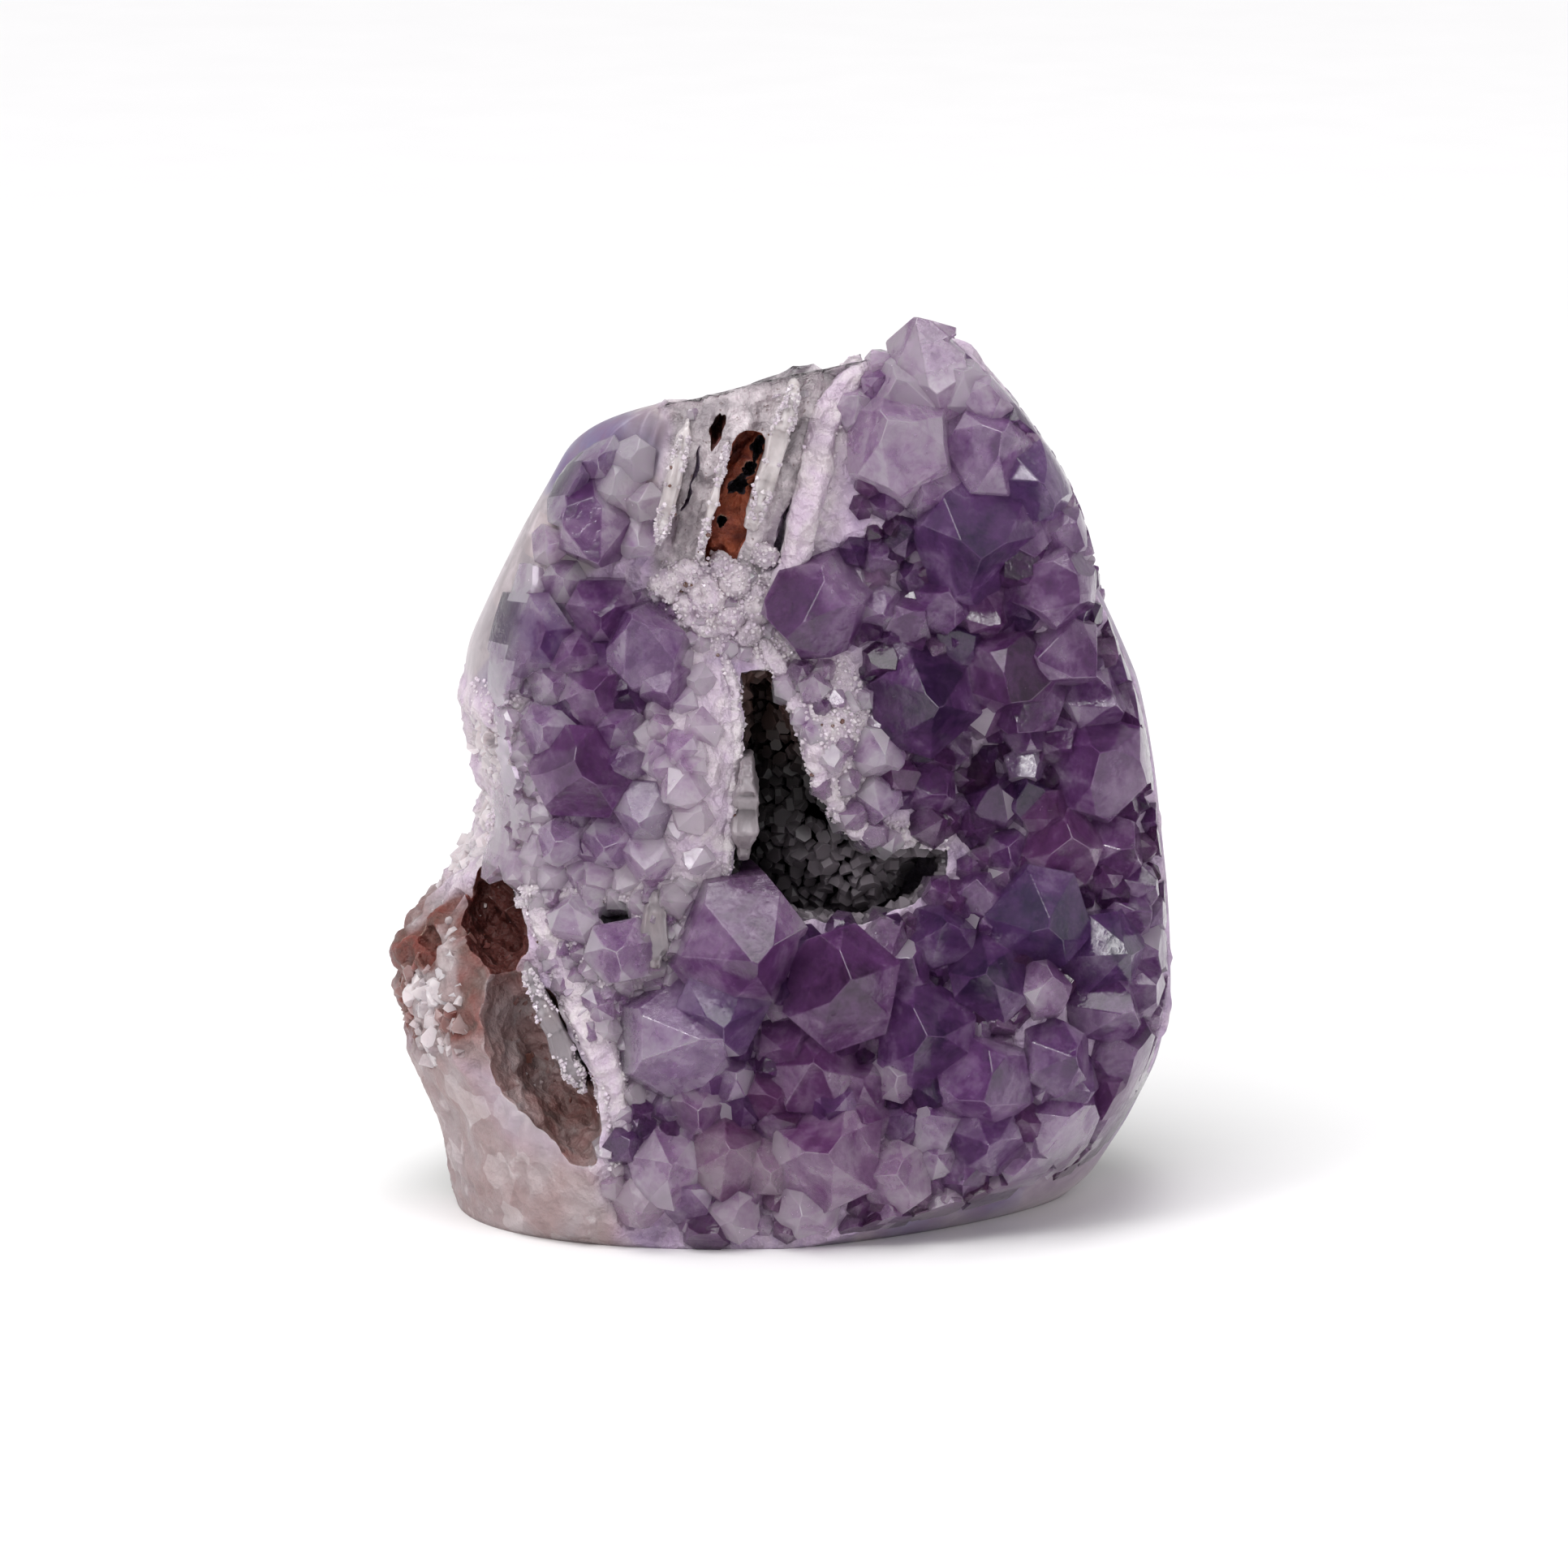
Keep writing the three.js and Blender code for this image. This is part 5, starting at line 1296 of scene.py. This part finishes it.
def build_cave(sizes, material):
    """Makes the dark crust of the cave: a lumpy shell inside the wall, open to the front, and dark points
    that stand on it and on the sill of the mouth."""
    rows, columns, open_share = 60, 90, 0.36
    outer = room_rings(CAVE_ROOM, rows, columns, inset=0.7)
    inner = room_rings(CAVE_ROOM, rows, columns, inset=2.3, grain=0.7)
    first = int(rows * open_share)
    shell = np.concatenate([inner[first:][::-1], outer[first:]])
    crust = ring_solid("cave_crust", shell)
    rng = np.random.default_rng(sizes.seed + 2)
    wall = room_rings(CAVE_ROOM, rows, columns, inset=0.8)
    sill = mouth_rings(CAVE_MOUTH, -34, -6, 40)
    at = np.concatenate([rings.reshape(-1, 3) for rings in (inner[first + 1:-3], wall[4:first + 1], sill)])
    deep = at[:, 1] - bed_depth(at[:, 0], at[:, 2])
    centred = (at - CAVE_ROOM["centre"]) / CAVE_ROOM["half"]
    in_sill = np.arange(len(at)) >= len(at) - sill.shape[0] * sill.shape[1]
    at = at[(deep > 1.6) & (~in_sill | (np.sum(centred ** 2, -1) > 0.8))]
    centre = at[spread_out(at, sizes.cave_spacing, rng)]
    axis = unit(unit(np.array(CAVE_ROOM["centre"]) - centre) + rng.normal(0, 0.55, centre.shape))
    width = rng.uniform(1.5, 2.7, len(centre))
    solids, _ = crystal_objects(centre, axis, width, 0.4, rng.uniform(*ANY_TURN, len(centre)), rng, 0, 0.0)
    combine(crust, solids, "UNION")
    at, face = corner_data(crust.data)
    # Lighter towards the lower front of the mouth: partly grey quartz there, partly painted light where
    # light falls in.
    lip = smoothstep(-at[:, 1], 0, 22) * smoothstep(-at[:, 2], -60, -48) * smoothstep(at[:, 0], -6, 6)
    high = smoothstep(at[:, 2], 62, 76) * smoothstep(-at[:, 1], 5, 20)
    store(crust.data, tone=scrambled(face * 12.9898), lip=lip, red=high)
    return finish_piece(crust, "cave_crystals", material, "cavity_crust", False)


def add(tree, kind, inputs=(), out=0, **settings):
    """Adds one node and gives one of its outputs, by name or number. inputs are values or outputs to link,
    in the order of the node's sockets or by their names, and settings are the node's own properties."""
    node = tree.nodes.new(f"ShaderNode{kind}")
    for label, value in settings.items():
        setattr(node, label, value)
    for socket, value in inputs.items() if isinstance(inputs, dict) else enumerate(inputs):
        if isinstance(value, bpy.types.NodeSocket):
            tree.links.new(value, node.inputs[socket])
        else:
            node.inputs[socket].default_value = value
    return node.outputs[out] if len(node.outputs) else None


def layered(tree, shown, *layers):
    """Colours laid over a first one in turn, each by its share."""
    for share, colour in layers:
        shown = add(tree, "Mix", {0: share, 6: shown, 7: colour}, 2, data_type="RGBA")
    return shown


def new_material(name, *labels):
    """An empty material, its node tree, the numbers stored under the labels, and places on the object."""
    material = bpy.data.materials.new(name)
    material.use_nodes = True
    tree = material.node_tree
    tree.nodes.clear()
    value = {label: add(tree, "Attribute", (), "Fac", attribute_name=label) for label in labels}
    return material, tree, value, add(tree, "TexCoord", (), "Object")


def amethyst_material(colours):
    """Amethyst: clear violet quartz, see-through, darker towards the tips and in the larger faces. Freshly
    grown faces are glossy with faint growth hills, and the colour fades to milky lilac at the foot of each
    crystal."""
    material, tree, value, place_at = new_material(
        "amethyst_quartz", "dark", "warm", "height", "sector", "tone", "bright", "low")
    cloud, veil = (
        add(tree, "TexNoise", {
            "Vector": place_at, "Scale": SCALE[kind], "Detail": detail, "Distortion": bent})
        for kind, detail, bent in (("colour_cloud", 4.0, 0.8), ("veil", 3.0, 1.2)))
    # Depth of colour: by height, then a little by sector, facet (partly painted shade), cloud and veil.
    by_height = add(tree, "MapRange", (value["height"], -0.4, 0.85, 0.6, 1.15))
    share = add(tree, "Math", (value["dark"], by_height), operation="MULTIPLY")
    for limits in ((value["sector"], -1.0, 1.0, -0.1, 0.08), (value["tone"], 0.0, 1.0, -0.13, 0.1),
                   (cloud, 0.3, 0.7, -0.24, 0.2), (veil, 0.35, 0.65, -0.06, 0.06)):
        share = add(tree, "Math", (share, add(tree, "MapRange", limits)))
    lilac, violet, deep = (
        add(tree, "MapRange", (share, *ends)) for ends in ((0.0, 0.3), (0.25, 0.6), (0.55, 1.0)))
    red = add(tree, "MapRange", (value["warm"], 0.0, 1.0, 0.0, 0.5))
    blue = add(tree, "MapRange", (value["warm"], 0.0, -1.0, 0.0, 0.55))
    # Painted shade deep between the crystals, and painted highlights on chosen facets.
    gap, frost = (
        add(tree, "Math", (value[label], 0.65), operation="MULTIPLY") for label in ("low", "bright"))
    shown = layered(
        tree, colours.pale, (lilac, colours.lilac), (violet, colours.violet), (deep, colours.deep_violet),
        (red, colours.wine), (blue, colours.blue_violet), (gap, colours.gap), (frost, colours.frost))
    gloss = add(tree, "MapRange", (veil, 0.35, 0.75, 0.05, 0.28))
    gloss = add(tree, "Math", (value["bright"], 0.35, gloss), operation="MULTIPLY_ADD")
    hills = add(tree, "TexVoronoi", {"Vector": place_at, "Scale": SCALE["growth_hill"]}, feature="SMOOTH_F1")
    relief = add(tree, "Math", (hills, veil))
    unworn = add(tree, "MapRange", (value["bright"], 0.0, 1.0, 0.22, 0.02))
    bump = add(tree, "Bump", {"Height": relief, "Strength": unworn, "Distance": 0.2 * MM})
    surface = add(tree, "BsdfPrincipled", {
        "Base Color": shown, "Roughness": gloss, "Normal": bump, "IOR": QUARTZ_IOR,
        "Transmission Weight": 0.75, "Specular IOR Level": 0.38, "Subsurface Weight": 0.3,
        "Subsurface Radius": (1.0, 0.7, 1.0), "Subsurface Scale": 2 * MM})
    inside = add(tree, "VolumeAbsorption", {
        "Color": linear(ABSORPTION_TINT), "Density": ABSORPTION_PER_METRE})
    add(tree, "OutputMaterial", {"Surface": surface, "Volume": inside})
    return material


def body_material(colours):
    """Massive and drusy quartz: milky lilac where crystals grow on it, white with fine druse on its plates,
    pinkish grey at the foot, brown and red where iron stained it. Ground and polished sides cut through old
    crystals, violet inside and milky between, and then through milky and grey layers to the rough grey-green
    rock at the back."""
    material, tree, value, place_at = new_material("druse_quartz", *BODY_LOOKS)
    wide, middle, fine, drift = (
        add(tree, "TexNoise", {
            "Vector": place_at, "Scale": SCALE[kind], "Detail": detail, "Distortion": bent})
        for kind, detail, bent in (("layer", 4.0, 0.0), ("patch", 4.0, 0.6), ("grain", 3.0, 0.0),
                                   ("milky_cloud", 3.0, 0.3)))
    # Old crystals cut by the polish are long towards the front, shards and flakes are as wide as long.
    grown = add(tree, "Mapping", {"Vector": place_at, "Scale": (1.0, 0.45, 1.0)})
    shards, cells, flakes, borders = (
        add(tree, "TexVoronoi", {"Vector": at, "Scale": SCALE[label]}, feature=feature)
        for at, label, feature in ((place_at, "shard", "F1"), (grown, "cut_crystal", "F1"),
                                   (place_at, "flake", "F1"), (grown, "cut_crystal", "DISTANCE_TO_EDGE")))
    shard, cell, flake = (
        add(tree, "SeparateColor", (found.node.outputs["Color"],)) for found in (shards, cells, flakes))
    patches = add(tree, "MapRange", (middle, 0.35, 0.65))
    bed, veined, sugar, plate, iron, clay, rock = (
        layered(tree, getattr(colours, first), (patches, getattr(colours, second)))
        for first, second in (("bed", "druse"), ("ground_core", "blue_violet"), ("druse", "milk"),
                              ("clear_grey", "milk"), ("rust", "brown"), ("rust", "iron_red"),
                              ("rock", "rock_light")))
    bed = layered(tree, bed, (add(tree, "MapRange", (shard, 0.2, 1.0, 0.0, 0.6)), colours.lilac))
    # Violet middles of cut crystals, more on the right side.
    core = add(tree, "Math", (add(tree, "MapRange", (borders, 0.01, 0.09, 0.15, 0.75)),
                              add(tree, "MapRange", (cell, 0.0, 0.8, 0.3, 1.0))), operation="MULTIPLY")
    core = add(tree, "Math", (core, value["violet"]), operation="MULTIPLY")
    # Layers behind the crystals, by depth in mm behind the bed, which wanders by 6 mm: milky, banded, grey.
    depth = add(tree, "Math", (add(tree, "MapRange", (wide, 0.0, 1.0, -6.0, 6.0)), value["behind"]))
    wave = add(tree, "Math", (depth, BAND_TURN), operation="MULTIPLY")
    wave = add(tree, "Math", (wave,), operation="SINE")
    banded = add(tree, "Math", (add(tree, "MapRange", (wave, -1.0, 1.0, 0.0, 0.3)),
                                add(tree, "MapRange", (depth, 9.0, 14.0))), operation="MULTIPLY")
    cut = layered(
        tree, layered(tree, colours.clear_grey, (cell, colours.cloud)),
        (value["violet"], layered(tree, colours.bed, (cell, colours.ground_violet))),
        (add(tree, "MapRange", (middle, 0.45, 0.7, 0.0, 0.35)), colours.milk), (core, colours.ground_core),
        (value["cut"], veined), (add(tree, "MapRange", (depth, 9.0, 16.0, 0.0, 0.5)), colours.milk),
        (add(tree, "MapRange", (depth, 19.0, 25.0)), colours.grey), (banded, colours.clear_grey))
    clouds = layered(
        tree, colours.pink_grey, (add(tree, "MapRange", (drift, 0.4, 0.62)), colours.cloud),
        (add(tree, "MapRange", (middle, 0.62, 0.75, 0.0, 0.7)), colours.cream),
        (add(tree, "MapRange", (wide, 0.62, 0.8)), colours.clear_grey),
        (add(tree, "MapRange", (flake, 0.7, 1.0, 0.0, 0.45)), colours.cream))
    specks = add(tree, "Math", (add(tree, "MapRange", (fine, 0.66, 0.7, 0.0, 0.6)), value["grey"]),
                 operation="MULTIPLY")
    rusted = add(tree, "Math", (value["rust"], add(tree, "MapRange", (wide, 0.3, 0.6, 0.6, 1.0))),
                 operation="MULTIPLY")
    deep = add(tree, "MapRange", (value["rust"], 1.0, 1.8, 0.0, 0.9))
    iron = layered(tree, iron, (deep, colours.deep_rust))
    shown = layered(
        tree, bed, (value["skin"], cut), (value["massive"], clouds), (value["coat"], sugar),
        (value["grey"], plate), (specks, colours.brown), (rusted, iron), (value["clay"], clay),
        # The cave's colour is also painted shade in the body's holes and gaps.
        (value["rind"], rock), (value["dark"], colours.cave))
    smooth = add(tree, "Math", (value["skin"], value["rind"]), operation="SUBTRACT")
    polish = add(tree, "Math", (value["massive"], 0.2, smooth), operation="MULTIPLY_ADD", use_clamp=True)
    rough = add(tree, "Math", (fine, 0.12, add(tree, "MapRange", (polish, 0.0, 1.0, 0.5, 0.27))),
                operation="MULTIPLY_ADD")
    relief = add(tree, "MapRange", (polish, 0.0, 1.0, 2.4, 0.0))
    relief = add(tree, "Math", (shards, relief), operation="MULTIPLY")
    for noise in (middle, fine):
        relief = add(tree, "Math", (relief, noise))
    uneven = add(tree, "MapRange", (polish, 0.0, 1.0, 1.0, 0.03))
    bump = add(tree, "Bump", {"Height": relief, "Strength": uneven, "Distance": 0.8 * MM})
    surface = add(tree, "BsdfPrincipled", {
        "Base Color": shown, "Roughness": rough, "Normal": bump, "IOR": QUARTZ_IOR,
        "Specular IOR Level": 0.35, "Subsurface Weight": 0.4, "Subsurface Radius": (1.0, 0.85, 0.95),
        "Subsurface Scale": 4 * MM})
    add(tree, "OutputMaterial", {"Surface": surface})
    return material


def druse_material(colours):
    """Fine drusy quartz: sugar-like milky points, whose small faces sparkle, with a few brown specks."""
    material, tree, value, _ = new_material("fine_drusy_quartz", "tone", "speck")
    shown = layered(tree, colours.druse, (value["tone"], colours.milk), (value["speck"], colours.brown))
    gloss = add(tree, "MapRange", (value["tone"], 0.0, 1.0, 0.08, 0.4))
    surface = add(tree, "BsdfPrincipled", {
        "Base Color": shown, "Roughness": gloss, "IOR": QUARTZ_IOR, "Subsurface Weight": 0.5,
        "Subsurface Radius": (1.0, 0.9, 1.0), "Subsurface Scale": 2 * MM})
    add(tree, "OutputMaterial", {"Surface": surface})
    return material


def stained_material(colours):
    """Blocky quartz: milky and pinkish grey with a wet gloss on its broken faces, brown to brick red where
    iron oxide lies on it."""
    material, tree, value, place_at = new_material("stained_quartz", "rust", "tone")
    mottle = add(tree, "TexNoise", {"Vector": place_at, "Scale": SCALE["shard"], "Detail": 4.0})
    mixed = add(tree, "MapRange", (mottle, 0.35, 0.65))
    clean = layered(tree, colours.milk, (value["tone"], colours.clear_grey), (mixed, colours.cream))
    dusty = add(tree, "Math", (mixed, 0.4), operation="MULTIPLY")
    deep = add(tree, "MapRange", (value["rust"], 1.0, 1.6, 0.0, 0.75))
    iron = layered(tree, colours.rust, (value["tone"], colours.brown), (dusty, colours.pink_grey),
                   (deep, colours.deep_rust))
    gloss = add(tree, "MapRange", (mottle, 0.0, 1.0, 0.1, 0.5))
    bump = add(tree, "Bump", {"Height": mottle, "Strength": 0.5, "Distance": 0.4 * MM})
    surface = add(tree, "BsdfPrincipled", {
        "Base Color": layered(tree, clean, (value["rust"], iron)), "Roughness": gloss, "Normal": bump,
        "IOR": QUARTZ_IOR, "Subsurface Weight": 0.4, "Subsurface Radius": (1.0, 0.8, 0.75),
        "Subsurface Scale": 3 * MM})
    add(tree, "OutputMaterial", {"Surface": surface})
    return material


def calcite_material(colours):
    """Calcite: off-white plates, waxy and a little see-through, with fine steps along their cleavage and
    thin brown films."""
    material, tree, value, place_at = new_material("platy_calcite", "stain", "shade")
    along = add(tree, "Mapping", {"Vector": place_at, "Scale": (1.0, 0.35, 0.3)})
    streak, cloud = (
        add(tree, "TexNoise", {"Vector": at, "Scale": SCALE[label], "Detail": detail})
        for at, label, detail in ((along, "cleavage_step", 4.0), (place_at, "flake", 3.0)))
    mixed = add(tree, "MapRange", (cloud, 0.35, 0.65))
    shown = layered(tree, colours.calcite, (mixed, colours.calcite_grey),
                    (value["shade"], colours.calcite_dim), (value["stain"], colours.brown))
    gloss = add(tree, "MapRange", (streak, 0.0, 1.0, 0.3, 0.6))
    bump = add(tree, "Bump", {"Height": streak, "Strength": 0.7, "Distance": 0.4 * MM})
    surface = add(tree, "BsdfPrincipled", {
        "Base Color": shown, "Roughness": gloss, "Normal": bump, "IOR": CALCITE_IOR,
        "Subsurface Weight": 0.5, "Subsurface Radius": (1.0, 0.9, 0.85), "Subsurface Scale": 3 * MM})
    add(tree, "OutputMaterial", {"Surface": surface})
    return material


def cave_material(colours):
    """Dark smoky quartz of the cave: small glossy points, nearly black inside and grey near the light."""
    material, tree, value, _ = new_material("dark_smoky_quartz", "tone", "lip", "red")
    film = add(tree, "Math", (value["red"], 0.35), operation="MULTIPLY")
    shown = layered(tree, colours.cave, (value["tone"], colours.cave_light),
                    (value["lip"], colours.cave_lip), (film, colours.brown))
    gloss = add(tree, "MapRange", (value["tone"], 0.0, 1.0, 0.22, 0.6))
    surface = add(tree, "BsdfPrincipled", {
        "Base Color": shown, "Roughness": gloss, "IOR": QUARTZ_IOR, "Specular IOR Level": 0.2,
        "Subsurface Weight": 0.6, "Subsurface Radius": (1.0, 0.95, 1.0), "Subsurface Scale": 2 * MM})
    add(tree, "OutputMaterial", {"Surface": surface})
    return material


def floor_material():
    """Matte painted board, pale, with a faint unevenness."""
    material, tree, _, place_at = new_material("painted_board")
    mottle = add(tree, "TexNoise", {"Vector": place_at, "Scale": SCALE["board_mottle"], "Detail": 2.0})
    shown = layered(tree, linear("#f3f2f2"), (mottle, linear("#f7f6f6")))
    surface = add(tree, "BsdfPrincipled", {"Base Color": shown, "Roughness": 0.7})
    add(tree, "OutputMaterial", {"Surface": surface})
    return material


def new_light(name, kind, power, size, place_at):
    """A light that faces the specimen: a square panel with a side, or a sun with an angle, as its size."""
    light = bpy.data.lights.new(name, kind)
    light.energy = power
    setattr(light, "angle" if kind == "SUN" else "size", size)
    obj = bpy.data.objects.new(name, light)
    obj.location = place_at
    obj.rotation_euler = (Vector(LIT_PLACE) - Vector(place_at)).to_track_quat("-Z", "Y").to_euler()
    bpy.context.scene.collection.objects.link(obj)


def build_stage(stage):
    """Makes the floor, the lights, the pale world and the camera of the photograph's view."""
    scene = bpy.context.scene
    around = np.linspace(0, 2 * np.pi, FLOOR_CORNERS, endpoint=False)
    disc = np.stack([np.cos(around), np.sin(around), 0 * around], -1) * stage.floor_radius / MM
    floor = new_object("floor", disc - SHIFT, [np.arange(FLOOR_CORNERS)])
    floor.data.materials.append(floor_material())
    for name, kind, power, size, place_at in LIGHTS:
        new_light(name, kind, getattr(stage, power), size, place_at)
    world = bpy.data.worlds.new("pale_room")
    world.use_nodes = True
    background = world.node_tree.nodes["Background"].inputs
    background["Color"].default_value = linear(ROOM_COLOUR)
    background["Strength"].default_value = stage.room_light
    scene.world = world
    camera = bpy.data.objects.new("camera", bpy.data.cameras.new("camera"))
    camera.data.sensor_width = SENSOR
    camera.data.lens = SENSOR * CAMERA_DISTANCE / PICTURE_WIDTH
    camera.data.clip_start = 0.05
    sight = np.array([0, -np.cos(SIGHT_TILT), np.sin(SIGHT_TILT)])
    camera.location = place(from_view(*PICTURE_MIDDLE, PICTURE_DEPTH)) + sight * CAMERA_DISTANCE
    camera.rotation_euler = Euler((np.pi / 2 - SIGHT_TILT, 0, 0))
    scene.collection.objects.link(camera)
    scene.camera = camera
    scene.view_settings.view_transform = "Standard"
    scene.view_settings.exposure = stage.exposure


# Settings in the sidebar, each with its description and default. Powers are in watts.
SIZES = {
    "seed": ("Start of the chance that turns crystals", 11),
    "body_rows": ("Rows of the quartz body", 205),
    "front_columns": ("Columns of the body's front", 300),
    "back_columns": ("Columns of the body's back", 80),
    "edge_wear": ("Width of the worn crystal edges in mm", 0.1),
    "growth": ("Width of the large crystals over the listed one", 1.12),
    "coat_on_edges": ("Fine points on each plate edge", 1500),
    "coat_on_lumps": ("Fine points on each milky lump", 80),
    "coat_on_plates": ("Fine points on each calcite edge", 260),
    "coat_spacing": ("Spacing of fine points in mm", 0.72),
    "cave_spacing": ("Spacing of the cave's crystals in mm", 1.35),
}
COLOURS = {
    "pale": ("Milky lilac at a crystal's foot", "#f4ecf5"),
    "lilac": ("Light amethyst", "#ccb1d2"),
    "violet": ("Main colour of the amethyst", "#875594"),
    "deep_violet": ("Colour of the dark tips", "#3c2348"),
    # Painted shade deep between the crystals.
    "gap": ("Amethyst deep between the crystals", "#2a1a33"),
    "wine": ("Reddish amethyst near iron stain", "#8a4a60"),
    "blue_violet": ("Bluish zones", "#524d80"),
    # Painted highlight on chosen facets.
    "frost": ("Bright facets", "#f4eef2"),
    "ground_violet": ("Pale parts of crystals cut by the polish", "#85758a"),
    "ground_core": ("Violet middles of cut crystals", "#6a4a78"),
    "bed": ("Quartz that the crystals stand on", "#a08ca8"),
    "cloud": ("Milky clouds in the foot", "#a29395"),
    "milk": ("Milky quartz", "#d3c7cc"),
    "grey": ("Grey quartz band", "#8d888c"),
    "clear_grey": ("Clear quartz over shade", "#8f868b"),
    "druse": ("Fine druse on plates", "#c8b5c7"),
    "cream": ("Rough white quartz", "#cdc3c5"),
    "pink_grey": ("Massive quartz of the foot", "#998383"),
    "deep_rust": ("Iron stain in the deep hole", "#531f19"),
    "rust": ("Iron stain", "#73382f"),
    "iron_red": ("Iron-red clay", "#a05236"),
    "brown": ("Brown films", "#5d4038"),
    "rock": ("Rock at the back", "#585b50"),
    "rock_light": ("Weathered rock", "#8b8a7c"),
    "calcite": ("Calcite plates", "#c8c0c1"),
    "calcite_grey": ("Grey parts of the plates", "#aea5a6"),
    "calcite_dim": ("Thin plates over shade", "#786f75"),
    # Also laid on the body as painted shade in its holes and gaps.
    "cave": ("Darkest cave quartz", "#1d1a1b"),
    "cave_light": ("Lighter cave quartz", "#262324"),
    # Partly grey quartz, partly painted light at the lower front of the mouth.
    "cave_lip": ("Grey crystals at the mouth", "#746c72"),
}
STAGE = {
    "floor_radius": ("Radius of the floor in metres", 8.0),
    "broad_light": ("Strength of the broad light", 2.0),
    "key_power": ("Power of the key light", 3.0),
    "fill_power": ("Power of the fill light", 2.0),
    "top_power": ("Power of the top light", 1.5),
    "room_light": ("Strength of the pale room", 0.55),
    "exposure": ("Exposure in stops", 0.0),
}


def settings_group(name, about, table):
    """A group of settings from a table: counts, decimal numbers, and colours, which are hex values in it."""
    fields = {}
    for label, (description, default) in table.items():
        words = {"name": label.replace("_", " ").capitalize(), "description": description}
        if isinstance(default, str):
            fields[label] = bpy.props.FloatVectorProperty(
                **words, subtype="COLOR", size=4, min=0, max=1, default=linear(default))
        elif isinstance(default, int):
            fields[label] = bpy.props.IntProperty(**words, default=default)
        else:
            fields[label] = bpy.props.FloatProperty(**words, default=default)
    return type(name, (bpy.types.PropertyGroup,), {"__doc__": about, "__annotations__": fields})


def maker(label, about, build):
    """An operator that makes one part of the scene."""

    def execute(self, context):
        build(context.scene)
        return {"FINISHED"}

    return type(f"Make{label.capitalize()}", (bpy.types.Operator,), {
        "__doc__": about, "bl_idname": f"druse.make_{label}", "bl_label": f"Make {label}",
        "execute": execute})


SETTINGS = {
    "druse_sizes": settings_group("DruseSizes", "Sizes and counts of the specimen's fine forms", SIZES),
    "druse_colours": settings_group("DruseColours", "Colours of the minerals", COLOURS),
    "druse_stage": settings_group("DruseStage", "Floor, lights and exposure", STAGE),
}
MAKERS = (
    maker("stage", "Make the floor, the lights and the camera",
          lambda scene: build_stage(scene.druse_stage)),
    maker("body", "Make the quartz body with its polished sides, bed, cave, pockets and slots",
          lambda scene: build_body(scene.druse_sizes, body_material(scene.druse_colours))),
    maker("edges", "Make the free edges of the quartz plates and the milky lumps",
          lambda scene: build_edges(body_material(scene.druse_colours))),
    maker("stained", "Make the blocky quartz of the lobe, the left edge and the pockets",
          lambda scene: build_stained(scene.druse_sizes, stained_material(scene.druse_colours))),
    maker("amethyst", "Make the amethyst crystals as one solid",
          lambda scene: build_amethyst(scene.druse_sizes, amethyst_material(scene.druse_colours))),
    maker("coat", "Make the fine druse on the plate edges and white places",
          lambda scene: build_coat(scene.druse_sizes, druse_material(scene.druse_colours))),
    maker("plates", "Make the six calcite plates",
          lambda scene: build_plates(calcite_material(scene.druse_colours))),
    maker("cave", "Make the dark crystals of the cave",
          lambda scene: build_cave(scene.druse_sizes, cave_material(scene.druse_colours))),
)


class DrusePanel(bpy.types.Panel):
    """Sidebar panel with the makers and their settings"""

    bl_idname = "VIEW3D_PT_druse"
    bl_label = "Amethyst druse"
    bl_space_type = "VIEW_3D"
    bl_region_type = "UI"
    bl_category = "Druse"

    def draw(self, context):
        for operator in MAKERS:
            self.layout.operator(operator.bl_idname)
        for label, group in SETTINGS.items():
            box = self.layout.box()
            for prop in group.__annotations__:
                box.prop(getattr(context.scene, label), prop)


def register():
    """Registers the settings, the makers and the panel."""
    for group in (*SETTINGS.values(), *MAKERS, DrusePanel):
        bpy.utils.register_class(group)
    for label, group in SETTINGS.items():
        setattr(bpy.types.Scene, label, bpy.props.PointerProperty(type=group))


def unregister():
    """Removes what register() added."""
    for label in SETTINGS:
        delattr(bpy.types.Scene, label)
    for group in (DrusePanel, *reversed(MAKERS), *reversed(SETTINGS.values())):
        bpy.utils.unregister_class(group)


def main():
    """Builds the stage and every piece, and writes the boxes of the solids and of the finished specimen."""
    register()
    for operator in MAKERS:
        getattr(bpy.ops.druse, operator.bl_idname.split(".")[1])()


if __name__ == "__main__":
    main()
